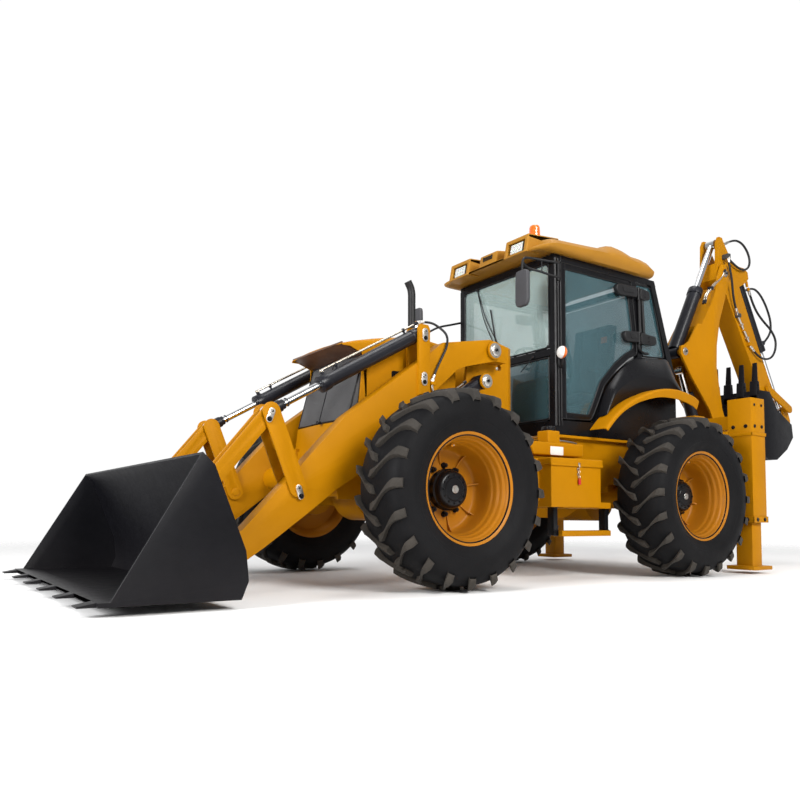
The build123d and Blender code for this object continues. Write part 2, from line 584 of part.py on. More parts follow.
# doors: outline with the window cut out, glass as thick as a pane in it
DOOR = [(-1406, 1166), (-1406, 2350), (-2226, 2350), (-2290, 1900), (-2290, 1756), (-2185, 1712), (-2045, 1614), (-1882, 1460),
        (-1804, 1310), (-1756, 1225), (-1722, 1178)]
DOOR_WIN = [(-1462, 1222), (-1462, 2300), (-2170, 2300), (-2238, 1900), (-2242, 1786), (-2160, 1746), (-2010, 1640), (-1838, 1476),
            (-1760, 1326), (-1716, 1250), (-1696, 1222)]
for dname, s in (("left_door", 1), ("right_door", -1)):
    with BuildPart() as door:
        slab(DOOR, min(s * 485, s * 520), max(s * 485, s * 520))
        slab(DOOR_WIN, min(s * 480, s * 525), max(s * 480, s * 525), Mode.SUBTRACT)
        slab(DOOR_WIN, min(s * 500, s * 506), max(s * 500, s * 506))
        for z in HINGE_Z:
            post(DOOR_AXIS[0], s * DOOR_AXIS[1], 14, z - 14, z + 14)
            block(DOOR_AXIS[0], -2200, min(s * 526, s * 544), max(s * 526, s * 544), z - 14, z + 14)
            block(-2228, -2200, min(s * 519, s * 544), max(s * 519, s * 544), z - 14, z + 14)
            post(DOOR_AXIS[0], s * DOOR_AXIS[1], 7 + HINGE_CLEAR, z - 15, z + 15, Mode.SUBTRACT)
    save(door, dname)

# fenders: (x, top z, lip height) of the sheet over each rear wheel, from the cab's side out to the tyre
FENDER_Y0, FENDER_Y1 = 522.0, 684.0
FENDER = [(-1701, 1102, 12), (-1814, 1206, 20), (-1974, 1314, 34), (-2139, 1388, 44), (-2366, 1458, 66), (-2602, 1476, 84),
          (-2800, 1446, 90), (-2880, 1412, 90)]
with BuildPart() as rear_fenders:
    slab([(x, z) for x, z, h in FENDER] + [(x + 8, z - h) for x, z, h in reversed(FENDER)], FENDER_Y0, FENDER_Y1)
    mirror(about=Plane.XZ)
save(rear_fenders, "rear_fenders")

# black panel between the door's rear edge and the fender, with its crease further out
PANEL_TOP = [(-1796, 1206), (-1836, 1306), (-1916, 1452), (-2075, 1600), (-2210, 1692), (-2305, 1728), (-2690, 1752), (-2748, 1640),
             (-2790, 1560), (-2880, 1480)]
with BuildPart() as quarter_panels:
    slab(PANEL_TOP + [(x - 2, z + 4) for x, z, h in reversed(FENDER[1:])], 524, 556)
    slab([(-1930, 1392), (-2200, 1520), (-2530, 1560), (-2640, 1500), (-2602, 1482), (-2366, 1464), (-2139, 1394), (-1985, 1324)], 550, 596)
    mirror(about=Plane.XZ)
save(quarter_panels, "quarter_panels")

with BuildPart() as side_boxes:
    slab([(-912, 965), (-960, 868), (-1467, 868), (-1467, 965)], 530, 662)
    block(-1236, -1114, 540, 652, 960, 1052)
    post(-1175, 596, 54, 1050, 1086)
    slab([(-890, 840), (-898, 790), (-952, 756), (-962, 682), (-926, 642), (-938, 541), (-1110, 541), (-1110, 840)], 530, 700)
    block(-1475, -966, 530, 810, 500, 796)
    block(-1486, -955, 530, 820, 790, 842)
    block(-1600, -1100, 530, 790, 496, 541)
    block(-1082, -1040, 700, 760, 306, 541)
    block(-1612, -1572, 700, 760, 306, 500)
    block(-1590, -1060, 690, 796, 300, 342)
    mirror(about=Plane.XZ)
save(side_boxes, "side_boxes")

# ------------------------------------------------------------------ excavator frame with the stabilizer tubes
LEG_X, LEG_Y = -3000.0, 1000.0
with BuildPart() as stabilizer_frame:
    for s in (-1, 1):
        block(LEG_X - 95, LEG_X + 95, s * LEG_Y - 95, s * LEG_Y + 95, 400, 1385)
        block(LEG_X - 72, LEG_X + 72, s * LEG_Y - 72, s * LEG_Y + 72, 390, 1367, Mode.SUBTRACT)
    for z0 in (560, 1150):
        block(-3045, -2955, -905, 905, z0, z0 + 110)
    for y in (-600, 0, 600):
        block(-3030, -2970, y - 40, y + 40, 670, 1150)
    for s in (-1, 1):
        block(-2970, -2905, min(s * 380, s * 440), max(s * 380, s * 440), 560, 1045)
save(stabilizer_frame, "stabilizer_frame")

for lname, s in (("left_stabilizer", 1), ("right_stabilizer", -1)):
    with BuildPart() as leg:
        block(LEG_X - 65, LEG_X + 65, s * LEG_Y - 65, s * LEG_Y + 65, 60, 980)
        block(LEG_X - 130, LEG_X + 130, s * LEG_Y - 110, s * LEG_Y + 110, 30, 60)
    save(leg, lname)

# ------------------------------------------------------------------ carriage, kingpost
YC = SHIFT_Y


def both(y0, y1):
    """The two mirrored spans across at y0 to y1 from the excavator's own middle plane."""
    return [(YC + y0, YC + y1), (YC - y1, YC - y0)]


with BuildPart() as side_shift_carriage:
    block(-3087, -3053, YC - 260, YC + 260, 520, 1300)
    for z0, z1 in ((1266, 1300), (520, 552)):
        block(-3053, -2940, YC - 260, YC + 260, z0, z1)
    for z0 in (560, 860):
        with BuildSketch(Plane.XY.offset(z0)) as s:
            with Locations((X_SWING + X_AXLE, YC)):
                Circle(80)
            with Locations(((X_SWING - 3087) / 2 + X_AXLE, YC)):
                Rectangle(-3087 - X_SWING, 160)
        extrude(s.sketch, amount=50)
        post(X_SWING, YC, 36 + HINGE_CLEAR, z0 - 1, z0 + 51, Mode.SUBTRACT)
    block(-3340, -3087, YC - 20, YC + 20, 610, 860)
save(side_shift_carriage, "side_shift_carriage")

with BuildPart() as kingpost:
    post(X_SWING, YC, 36, 520, 954)
    post(X_SWING, YC, 70, 618, 852)
    post(X_SWING, YC, 75, 520, 552)
    # head above the upper lug, with the boom cylinder's ears
    block(-3590, -3395, YC - 105, YC + 105, 918, 954)
    for y0, y1 in both(62, 84):
        slab([(-3500, 954), (-3390, 954), (-3392, 1030), (-3415, 1078), (-3465, 1078), (-3490, 1030)], y0, y1)
    disc(B_RAM0, 26, YC - 84, YC + 84)
    # web between the lugs and the plates that carry the boom foot
    block(-3650, -3520, YC - 146, YC + 146, 640, 830)
    for y0, y1 in both(122, 146):
        slab([(-3520, 640), (-3650, 700), (-3790, 960), (-3780, 1060), (-3720, 1105), (-3640, 1090), (-3610, 954), (-3610, 850),
              (-3545, 830), (-3520, 830)], y0, y1)
    for y0, y1 in both(105, 146):
        block(-3606, -3530, y0, y1, 918, 954)
    disc(B_FOOT, 36, YC - 146, YC + 146)
save(kingpost, "kingpost")

# ------------------------------------------------------------------ boom
BOOM_BOX = [(-3790, 1010), (-3760, 945), (-3700, 920), (-3635, 950), (-3610, 1010), (-3590, 1060), (-3400, 1400), (-3310, 1700),
            (-3300, 1900), (-3310, 2165), (-3500, 2447), (-3590, 2560), (-3660, 2560), (-3689, 2480), (-3583, 2238),
            (-3530, 2000), (-3520, 1800), (-3594, 1423)]
BOOM_CORE = [(-3790, 1010), (-3760, 945), (-3735, 925), (-3715, 1010), (-3690, 1100), (-3500, 1430), (-3400, 1690), (-3310, 1800),
             (-3300, 1900), (-3310, 2165), (-3500, 2447), (-3590, 2560), (-3660, 2560), (-3689, 2480), (-3583, 2238),
             (-3530, 2000), (-3520, 1800), (-3594, 1423)]
BOOM_FORK = [(-3500, 2447), (-3600, 2700), (-3640, 2770), (-3700, 2785), (-3760, 2750), (-3775, 2680), (-3740, 2600), (-3660, 2440)]
BOOM_LUG = [(-3400, 1400), (-3150, 1660), (-2985, 1860), (-2990, 1930), (-3055, 1950), (-3120, 1990), (-3250, 2165), (-3330, 2165), (-3330, 1700)]
with BuildPart() as boom:
    slab(BOOM_CORE, YC - 95, YC + 95)
    for y0, y1 in both(95, 115):
        slab(BOOM_BOX, y0, y1)
        slab(BOOM_FORK, y0, y1)
        slab(BOOM_LUG, y0, y1)
    disc(B_FOOT, 36 + HINGE_CLEAR, YC - 120, YC + 120, Mode.SUBTRACT)
    disc(B_KNEE, 28, YC - 115, YC + 115)
    disc(B_END, 32, YC - 115, YC + 115)
save(boom, "boom")


def cylinder(p0, p1, barrel_len, r_barrel, r_rod, eye0, eye1, w0, w1, pin0, inner=None):
    y = YC
    barrel, ram = cylinder_pair("", "", p0, p1, y, r_barrel, r_rod, barrel_len, eye0, eye1, w0, w1, False, inner)
    with BuildPart() as b2:
        add(barrel.part)
        disc(p0, pin0 + HINGE_CLEAR, y - 120, y + 120, Mode.SUBTRACT)
    return b2, ram


boom_ram_barrel, boom_ram_rod = cylinder(B_RAM0, B_RAM1, 560, 50, 28, 44, 40, 56, 34, 26)
save(boom_ram_barrel, "boom_ram_barrel")
save(boom_ram_rod, "boom_ram_rod")

# ------------------------------------------------------------------ dipper
DIPPER = [(-3610, 2790), (-3600, 2640), (-3640, 2600), (-3750, 2510), (-4210, 1795), (-4400, 1420), (-4450, 1375), (-4520, 1385),
          (-4550, 1450), (-4470, 1760), (-4330, 1975), (-3960, 2640), (-3898, 2800), (-3860, 2850)]
DIP_EARS = [(-3610, 2770), (-3620, 2990), (-3650, 3045), (-3700, 3045), (-3730, 3000), (-3860, 2840), (-3860, 2770)]
with BuildPart() as dipper:
    slab(DIPPER, YC - 85, YC + 85)
    for y0, y1 in both(62, 85):
        slab(DIP_EARS, y0, y1)
        slab([(-3890, 2820), (-4060, 2820), (-4120, 2790), (-4130, 2730), (-4090, 2690), (-3930, 2600)], y0, y1)
    disc(B_END, 32 + HINGE_CLEAR, YC - 90, YC + 90, Mode.SUBTRACT)
    disc(D_BOSS, 24, YC - 85, YC + 85)
    disc(D_LEVER, 24, YC - 112, YC + 112)
    disc(D_TIP, 26 + HINGE_CLEAR, YC - 90, YC + 90, Mode.SUBTRACT)
    # hose fittings: at the rear edge of the ears, a manifold above the boom's fork, and along the left face
    stub(HOSE_TOP, 55, 12)
    block(-3722, -3692, 420, 490, 2838, 2876)
    stub(HOSE_TOP[::-1], 20, 13)
    stub(HOSE_SIDE, 20, 13)
    stub(HOSE_SIDE[::-1], 40, 13)
    block(-3925, -3885, 420, 462, 2318, 2352)
    stub(HOSE_LOOP, 50, 13)
    block(-4110, -4070, 420, 452, 2072, 2106)
    stub(HOSE_LOOP[::-1], 45, 12)
    rod((-4126, 413, 2652), (-4112, 413, 2705), 12)
    # steel pipe that joins the side hose to the loop, held by two clamps
    rod((-3900, 441, 2335), (-4092, 441, 2090), 9)
    block(-4010, -3985, 420, 452, 2200, 2230)
save(dipper, "dipper")

dipper_ram_barrel, dipper_ram_rod = cylinder(B_KNEE, D_TOP, 725, 58, 30, 48, 42, 60, 40, 28, 585)
save(dipper_ram_barrel, "dipper_ram_barrel")
save(dipper_ram_rod, "dipper_ram_rod")
bucket_ram_barrel, bucket_ram_rod = cylinder(D_BOSS, D_ROD, 780, 42, 22, 40, 34, 54, 22, 24, 684)
with BuildPart() as bucket_ram_barrel2:
    add(bucket_ram_barrel.part)
    # ports of the hose that loops behind the cylinder
    stub(HOSE_RAM, 60, 12)
    stub(HOSE_RAM[::-1], 45, 12)
    c, d = along(D_BOSS, D_ROD, 715), (D_ROD[1] - D_BOSS[1], D_BOSS[0] - D_ROD[0])
    c = (c[0] + d[0] / hypot(*d) * 58, c[1] + d[1] / hypot(*d) * 58)
    disc(c, 22, YC - 30, YC + 30)
save(bucket_ram_barrel2, "bucket_ram_barrel")
save(bucket_ram_rod, "bucket_ram_rod")

with BuildPart() as dipper_lever:
    for y0, y1 in both(92, 107):
        strip(D_LEVER, D_ROD, 74, y0, y1)
        disc(D_LEVER, 24 + HINGE_CLEAR, y0 - 1, y1 + 1, Mode.SUBTRACT)
    for y0, y1 in both(28, 107):
        disc(D_ROD, 20, y0, y1)
save(dipper_lever, "dipper_lever")

with BuildPart() as dipper_link:
    for y0, y1 in both(33, 52):
        slab([(-4750, 1540), (-4787, 1562), (-4830, 1545), (-4890, 1420), (-4880, 1300), (-4800, 1215), (-4680, 1165), (-4520, 1158), (-4480, 1190),
              (-4500, 1240), (-4620, 1260), (-4720, 1310), (-4765, 1390)], y0, y1)
        disc(D_ROD, 20 + HINGE_CLEAR, y0 - 1, y1 + 1, Mode.SUBTRACT)
    block(-4850, -4800, YC - 33, YC + 33, 1320, 1370)
save(dipper_link, "dipper_link")

HB = 300.0
BK = [(-3880, 1600), (-3860, 1150), (-3905, 1020), (-4010, 970), (-4150, 975), (-4330, 1080), (-4440, 1200), (-4420, 1320), (-4175, 1440), (-4050, 1600)]
BKI = [(-3894, 1700), (-3874, 1152), (-3916, 1030), (-4012, 984), (-4146, 989), (-4320, 1091), (-4426, 1204), (-4410, 1316), (-4300, 1400), (-4100, 1700)]
with BuildPart() as backhoe_bucket:
    slab(BK, YC - HB, YC + HB)
    slab(BKI, YC - HB + 16, YC + HB - 16, Mode.SUBTRACT)
    for k in range(5):
        y = YC - 248 + 124 * k
        slab([(-3876, 1540), (-3904, 1540), (-3912, 1860), (-3896, 1860)], y - 28, y + 28)
    for y0, y1 in both(92, 110):
        slab([(-4425, 1290), (-4400, 1340), (-4430, 1440), (-4455, 1490), (-4510, 1490), (-4535, 1440), (-4560, 1240), (-4560, 1180),
              (-4500, 1150), (-4360, 1110)], y0, y1)
    disc(D_TIP, 26, YC - 110, YC + 110)
    for y0, y1 in both(58, 110):
        disc(D_LINK, 20, y0, y1)
save(backhoe_bucket, "backhoe_bucket")

# ------------------------------------------------------------------ hoses
hose(HOSE_ARM, HOSE_D, "left_arm_hose")
hose([(x, -y, z) for x, y, z in HOSE_ARM], HOSE_D, "right_arm_hose")
hose(HOSE_TOP, HOSE_DB, "dipper_top_hose")
hose(HOSE_SIDE, HOSE_DB, "dipper_side_hose")
hose(HOSE_LOOP, HOSE_DB, "dipper_loop_hose")
hose(HOSE_RAM, HOSE_DB, "ram_hose")
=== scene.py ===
import bpy, bmesh, json, random
from math import pi, sin, cos, radians, atan2, hypot, sqrt
from mathutils import Vector, Matrix

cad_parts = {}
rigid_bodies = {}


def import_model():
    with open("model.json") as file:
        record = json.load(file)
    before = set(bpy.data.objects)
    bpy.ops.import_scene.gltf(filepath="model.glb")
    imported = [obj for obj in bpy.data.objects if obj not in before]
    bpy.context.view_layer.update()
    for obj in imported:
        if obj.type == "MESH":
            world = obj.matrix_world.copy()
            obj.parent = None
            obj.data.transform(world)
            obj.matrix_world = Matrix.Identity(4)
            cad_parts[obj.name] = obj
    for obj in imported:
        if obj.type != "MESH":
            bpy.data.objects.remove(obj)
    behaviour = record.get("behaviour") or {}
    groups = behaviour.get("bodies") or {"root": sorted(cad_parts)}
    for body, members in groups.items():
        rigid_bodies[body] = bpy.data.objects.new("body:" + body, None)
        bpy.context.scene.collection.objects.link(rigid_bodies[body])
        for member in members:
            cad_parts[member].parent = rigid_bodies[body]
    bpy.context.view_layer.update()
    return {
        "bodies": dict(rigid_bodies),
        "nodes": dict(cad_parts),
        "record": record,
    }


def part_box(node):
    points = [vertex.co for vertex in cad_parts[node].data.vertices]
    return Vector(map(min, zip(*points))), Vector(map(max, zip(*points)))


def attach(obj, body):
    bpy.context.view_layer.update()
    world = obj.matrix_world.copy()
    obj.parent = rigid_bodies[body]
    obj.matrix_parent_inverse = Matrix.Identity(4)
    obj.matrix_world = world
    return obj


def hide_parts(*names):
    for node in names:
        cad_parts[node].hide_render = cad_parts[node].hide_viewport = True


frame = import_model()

NODES, BODIES = frame["nodes"], frame["bodies"]
_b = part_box("front_axle")
XA = (_b[0][0] + _b[1][0]) / 2          # front axle's x in the row frame, metres
WB = 2.26                                # wheelbase
R = 0.595                                # tyre radius
WHEEL_Y = 0.923
YC = (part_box("boom")[0][1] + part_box("boom")[1][1]) / 2
FOLLOW = {n: b for b, ns in frame["record"]["behaviour"]["bodies"].items() for n in ns}


def F(x, y, z):
    """Millimetres from the front axle to the row frame in metres."""
    return Vector((x / 1000 + XA, y / 1000, z / 1000))


# ------------------------------------------------------------------ camera
def make_camera():
    cam = bpy.data.cameras.new("camera")
    ob = bpy.data.objects.new("camera", cam)
    bpy.context.scene.collection.objects.link(ob)
    yaw, pitch, roll = -2.12874712544961, 0.054712590733230405, 0.005739413317962765
    f, px, py = 737.1633539151293, 342.55664803589525, 475.2035119880958
    fwd = Vector((cos(yaw) * cos(pitch), sin(yaw) * cos(pitch), sin(pitch)))
    right = Vector((sin(yaw), -cos(yaw), 0))
    up = right.cross(fwd)
    r2 = right * cos(roll) + up * sin(roll)
    u2 = -right * sin(roll) + up * cos(roll)
    m = Matrix((r2, u2, -fwd)).transposed().to_4x4()
    m.translation = Vector((2.863241820293147 + XA, 4.280187691420237, 0.4364932977998589))
    ob.matrix_world = m
    cam.sensor_width = 36
    cam.lens = f * 36 / 800
    cam.shift_x = (400 - px) / 800
    cam.shift_y = (py - 400) / 800
    cam.clip_end = 200
    bpy.context.scene.camera = ob
    return ob


make_camera()

# ------------------------------------------------------------------ materials
MATS = {}


def nodes_of(name):
    m = bpy.data.materials.new(name)
    m.use_nodes = True
    nt = m.node_tree
    return m, nt, nt.nodes["Principled BSDF"]


def noise(nt, scale, detail=3.0, rough=0.55, vec=None, seedv=0.0):
    n = nt.nodes.new("ShaderNodeTexNoise")
    n.inputs["Scale"].default_value = scale
    n.inputs["Detail"].default_value = detail
    n.inputs["Roughness"].default_value = rough
    if vec is not None:
        nt.links.new(vec, n.inputs["Vector"])
    return n


def ramp(nt, fac, stops):
    r = nt.nodes.new("ShaderNodeValToRGB")
    while len(r.color_ramp.elements) < len(stops):
        r.color_ramp.elements.new(0.5)
    for e, (p, c) in zip(r.color_ramp.elements, stops):
        e.position = p
        e.color = (*c, 1) if len(c) == 3 else c
    nt.links.new(fac, r.inputs["Fac"])
    return r


def finish(name, base, rough=0.4, metal=0.0, vary=0.12, rough_vary=0.1, scale=3.0, bump=0.02, bump_scale=120.0,
           coat=0.0, coat_rough=0.15, dust=0.0, dust_col=(0.32, 0.27, 0.2), dust_top=0.5, spec=0.5, scratch=0.0,
           scratch_col=(0.5, 0.48, 0.45)):
    """A finish with broad colour drift, fine grain, dust that gathers low down, and sparse worn specks."""
    m, nt, bs = nodes_of(name)
    tc = nt.nodes.new("ShaderNodeTexCoord")
    ob = tc.outputs["Object"]
    n1 = noise(nt, scale, 4, 0.6, ob)
    dark = tuple(max(0, c * (1 - vary)) for c in base)
    lite = tuple(min(1, c * (1 + vary)) for c in base)
    col = ramp(nt, n1.outputs["Fac"], [(0.3, dark), (0.7, lite)]).outputs["Color"]
    if dust > 0:
        sep = nt.nodes.new("ShaderNodeSeparateXYZ")
        nt.links.new(ob, sep.inputs[0])
        mr = nt.nodes.new("ShaderNodeMapRange")
        mr.inputs["From Min"].default_value = dust_top
        mr.inputs["From Max"].default_value = 0.0
        nt.links.new(sep.outputs["Z"], mr.inputs["Value"])
        n2 = noise(nt, 9, 6, 0.7, ob)
        mul = nt.nodes.new("ShaderNodeMath"); mul.operation = "MULTIPLY"
        nt.links.new(mr.outputs[0], mul.inputs[0]); nt.links.new(n2.outputs["Fac"], mul.inputs[1])
        mul2 = nt.nodes.new("ShaderNodeMath"); mul2.operation = "MULTIPLY"; mul2.use_clamp = True
        nt.links.new(mul.outputs[0], mul2.inputs[0]); mul2.inputs[1].default_value = dust
        mx = nt.nodes.new("ShaderNodeMix"); mx.data_type = "RGBA"
        nt.links.new(mul2.outputs[0], mx.inputs["Factor"])
        nt.links.new(col, mx.inputs["A"]); mx.inputs["B"].default_value = (*dust_col, 1)
        col = mx.outputs["Result"]
    if scratch > 0:
        n3 = noise(nt, 38, 8, 0.75, ob)
        r3 = ramp(nt, n3.outputs["Fac"], [(0.70, (0, 0, 0)), (0.74, (scratch, scratch, scratch))])
        mx = nt.nodes.new("ShaderNodeMix"); mx.data_type = "RGBA"
        nt.links.new(r3.outputs["Color"], mx.inputs["Factor"])
        nt.links.new(col, mx.inputs["A"]); mx.inputs["B"].default_value = (*scratch_col, 1)
        col = mx.outputs["Result"]
    nt.links.new(col, bs.inputs["Base Color"])
    bs.inputs["Metallic"].default_value = metal
    bs.inputs["Specular IOR Level"].default_value = spec
    nr = noise(nt, scale * 5, 5, 0.6, ob)
    mr = nt.nodes.new("ShaderNodeMapRange")
    mr.inputs["To Min"].default_value = max(0.02, rough - rough_vary)
    mr.inputs["To Max"].default_value = min(1, rough + rough_vary)
    nt.links.new(nr.outputs["Fac"], mr.inputs["Value"])
    nt.links.new(mr.outputs[0], bs.inputs["Roughness"])
    if bump > 0:
        nb = noise(nt, bump_scale, 4, 0.6, ob)
        bp = nt.nodes.new("ShaderNodeBump")
        bp.inputs["Strength"].default_value = bump
        bp.inputs["Distance"].default_value = 0.01
        nt.links.new(nb.outputs["Fac"], bp.inputs["Height"])
        nt.links.new(bp.outputs["Normal"], bs.inputs["Normal"])
    bs.inputs["Coat Weight"].default_value = coat
    bs.inputs["Coat Roughness"].default_value = coat_rough
    MATS[name] = m
    return m


YELLOW = finish("yellow_paint", (0.405, 0.166, 0.0006), 0.46, vary=0.05, rough_vary=0.08, spec=0.07, bump=0.015, bump_scale=260,
                dust=0.35, dust_top=0.7, dust_col=(0.30, 0.13, 0.02))
AMBER = finish("rim_paint", (0.36, 0.128, 0.0016), 0.40, vary=0.1, rough_vary=0.1, spec=0.16, bump=0.03, bump_scale=160,
               dust=0.5, dust_top=1.2, dust_col=(0.28, 0.13, 0.03))
BLACK = finish("black_paint", (0.0035, 0.0035, 0.0045), 0.30, vary=0.25, coat=0.08, coat_rough=0.2, bump=0.01, dust=0.10, dust_top=1.6,
               dust_col=(0.03, 0.027, 0.024), spec=0.20)
CHARCOAL = finish("charcoal_paint", (0.0052, 0.0052, 0.0068), 0.42, vary=0.2, rough_vary=0.12, bump=0.03, bump_scale=90, scratch=0.06,
                  scratch_col=(0.08, 0.08, 0.085), dust=0.2, dust_top=0.35, dust_col=(0.04, 0.033, 0.03), spec=0.11)
CYL = finish("cylinder_paint", (0.0095, 0.010, 0.014), 0.36, vary=0.2, bump=0.02, coat=0.06, coat_rough=0.25, scratch=0.08,
             scratch_col=(0.12, 0.12, 0.13), spec=0.25)
ROOF = finish("roof_plastic", (0.36, 0.165, 0.016), 0.5, vary=0.09, rough_vary=0.1, bump=0.05, bump_scale=220, spec=0.18)
RUBBER = finish("tyre_rubber", (0.0052, 0.0052, 0.0060), 0.62, vary=0.25, rough_vary=0.12, bump=0.12, bump_scale=70, dust=0.15,
                dust_top=1.3, dust_col=(0.02, 0.018, 0.017), spec=0.10)
TREAD = finish("tread_rubber", (0.026, 0.023, 0.020), 0.72, vary=0.35, rough_vary=0.12, scale=6, bump=0.25, bump_scale=60, dust=0.4,
               dust_top=1.5, dust_col=(0.08, 0.066, 0.05), spec=0.25)
HOSE = finish("hose_rubber", (0.009, 0.009, 0.010), 0.46, vary=0.2, bump=0.06, bump_scale=400, spec=0.3)
PLASTIC = finish("black_plastic", (0.012, 0.012, 0.013), 0.48, vary=0.2, bump=0.08, bump_scale=500, spec=0.25)
GREY = finish("grey_plastic", (0.055, 0.055, 0.060), 0.55, vary=0.15, bump=0.08, bump_scale=400, spec=0.25)
MESH = finish("mesh_wire", (0.105, 0.105, 0.108), 0.45, vary=0.2, bump=0.04, bump_scale=400, spec=0.4)
CHROME = finish("chrome", (0.78, 0.79, 0.80), 0.12, metal=1.0, vary=0.05, rough_vary=0.05, bump=0.004, bump_scale=300)
STEEL = finish("zinc_steel", (0.62, 0.60, 0.56), 0.30, metal=1.0, vary=0.12, rough_vary=0.1, bump=0.03, bump_scale=200)
PIPE = finish("steel_pipe", (0.68, 0.62, 0.52), 0.25, metal=1.0, vary=0.12, rough_vary=0.08, bump=0.02, bump_scale=150)
DARKIRON = finish("dark_iron", (0.03, 0.028, 0.027), 0.6, vary=0.35, rough_vary=0.12, bump=0.15, bump_scale=70, dust=0.7, dust_top=1.1,
                  dust_col=(0.12, 0.09, 0.06))
WHITE = finish("white_lens", (0.75, 0.75, 0.73), 0.3, vary=0.05, bump=0.02)
RED = finish("red_paint", (0.5, 0.02, 0.02), 0.35, vary=0.1, bump=0.02)
BRASS = finish("brass", (0.5, 0.36, 0.14), 0.3, metal=1.0, vary=0.1)
INTERIOR = finish("interior_plastic", (0.05, 0.052, 0.055), 0.65, vary=0.15, bump=0.1, bump_scale=350)
# the yellow paint darkened: painted shade for the underside of the hood's brow
BROW_PAINTED_SHADE = finish("brow_underside_painted_shade", (0.10, 0.045, 0.022), 0.4, vary=0.2, bump=0.03, bump_scale=120)


def fabric():
    m, nt, bs = nodes_of("seat_fabric")
    tc = nt.nodes.new("ShaderNodeTexCoord")
    ob = tc.outputs["Object"]
    wx = nt.nodes.new("ShaderNodeTexWave"); wx.bands_direction = "X"; wx.inputs["Scale"].default_value = 110
    wy = nt.nodes.new("ShaderNodeTexWave"); wy.bands_direction = "Y"; wy.inputs["Scale"].default_value = 110
    for w in (wx, wy):
        nt.links.new(ob, w.inputs["Vector"]); w.inputs["Distortion"].default_value = 0.6
    mx = nt.nodes.new("ShaderNodeMath"); mx.operation = "MULTIPLY"
    nt.links.new(wx.outputs["Fac"], mx.inputs[0]); nt.links.new(wy.outputs["Fac"], mx.inputs[1])
    col = ramp(nt, mx.outputs[0], [(0.1, (0.022, 0.024, 0.028)), (0.9, (0.065, 0.068, 0.075))])
    nt.links.new(col.outputs["Color"], bs.inputs["Base Color"])
    bs.inputs["Roughness"].default_value = 0.9
    bs.inputs["Sheen Weight"].default_value = 0.3
    bp = nt.nodes.new("ShaderNodeBump"); bp.inputs["Strength"].default_value = 0.4; bp.inputs["Distance"].default_value = 0.002
    nt.links.new(mx.outputs[0], bp.inputs["Height"]); nt.links.new(bp.outputs["Normal"], bs.inputs["Normal"])
    return m


def glass(name, col, alpha, rough=0.03):
    m, nt, bs = nodes_of(name)
    tc = nt.nodes.new("ShaderNodeTexCoord")
    n = noise(nt, 2.2, 3, 0.5, tc.outputs["Object"])
    a = ramp(nt, n.outputs["Fac"], [(0.3, tuple(c * 0.9 for c in col)), (0.7, tuple(min(1, c * 1.1) for c in col))])
    nt.links.new(a.outputs["Color"], bs.inputs["Base Color"])
    mr = nt.nodes.new("ShaderNodeMapRange")
    mr.inputs["To Min"].default_value = alpha - 0.04
    mr.inputs["To Max"].default_value = alpha + 0.04
    nt.links.new(n.outputs["Fac"], mr.inputs["Value"]); nt.links.new(mr.outputs[0], bs.inputs["Alpha"])
    bs.inputs["Roughness"].default_value = rough
    bs.inputs["Specular IOR Level"].default_value = 0.8
    bs.inputs["Coat Weight"].default_value = 0.6
    bs.inputs["Coat Roughness"].default_value = 0.02
    return m


def lens(name, col, glow=0.0):
    m, nt, bs = nodes_of(name)
    tc = nt.nodes.new("ShaderNodeTexCoord")
    w = nt.nodes.new("ShaderNodeTexVoronoi"); w.inputs["Scale"].default_value = 120
    nt.links.new(tc.outputs["Object"], w.inputs["Vector"])
    r = ramp(nt, w.outputs["Distance"], [(0.0, tuple(c * 0.75 for c in col)), (0.8, col)])
    nt.links.new(r.outputs["Color"], bs.inputs["Base Color"])
    bs.inputs["Roughness"].default_value = 0.12
    bs.inputs["Coat Weight"].default_value = 0.8
    bs.inputs["Subsurface Weight"].default_value = 0.15
    bp = nt.nodes.new("ShaderNodeBump"); bp.inputs["Strength"].default_value = 0.35; bp.inputs["Distance"].default_value = 0.002
    nt.links.new(w.outputs["Distance"], bp.inputs["Height"]); nt.links.new(bp.outputs["Normal"], bs.inputs["Normal"])
    return m


FABRIC = fabric()
# one glass in two copies: the windshield's pale base colour is painted light standing for the bright backdrop seen
# through it, the darker side and rear copy is painted shade
GLASS_PAINTED_LIGHT = glass("cab_glass_painted_light", (0.50, 0.66, 0.64), 0.36)
GLASS_PAINTED_SHADE = glass("side_glass_painted_shade", (0.045, 0.11, 0.13), 0.52)
ORANGE = lens("orange_lens", (0.85, 0.16, 0.01))
CLEAR = lens("clear_lens", (0.80, 0.80, 0.76))


# ------------------------------------------------------------------ hoses, the first pieces made
# each route's points in metres: x from the front axle, y to the left, z up
ARM_HOSE = [(-0.158, 0.410, 1.734), (-0.232, 0.418, 1.748), (-0.294, 0.448, 1.712), (-0.322, 0.500, 1.650), (-0.300, 0.521, 1.568),
            (-0.256, 0.522, 1.490), (-0.212, 0.520, 1.412), (-0.180, 0.519, 1.336)]
RIGHT_ARM_HOSE = [(x, -y, z) for x, y, z in ARM_HOSE]
TOP_HOSE = [(-3.785, 0.418, 3.014), (-3.880, 0.430, 3.062), (-3.998, 0.440, 3.055), (-4.085, 0.446, 2.985), (-4.118, 0.450, 2.900),
            (-4.092, 0.452, 2.828), (-4.020, 0.452, 2.788), (-3.930, 0.452, 2.784), (-3.836, 0.452, 2.812), (-3.742, 0.452, 2.852)]
SIDE_HOSE = [(-3.708, 0.478, 2.828), (-3.722, 0.480, 2.745), (-3.758, 0.476, 2.650), (-3.790, 0.464, 2.550), (-3.822, 0.456, 2.450),
             (-3.872, 0.448, 2.372)]
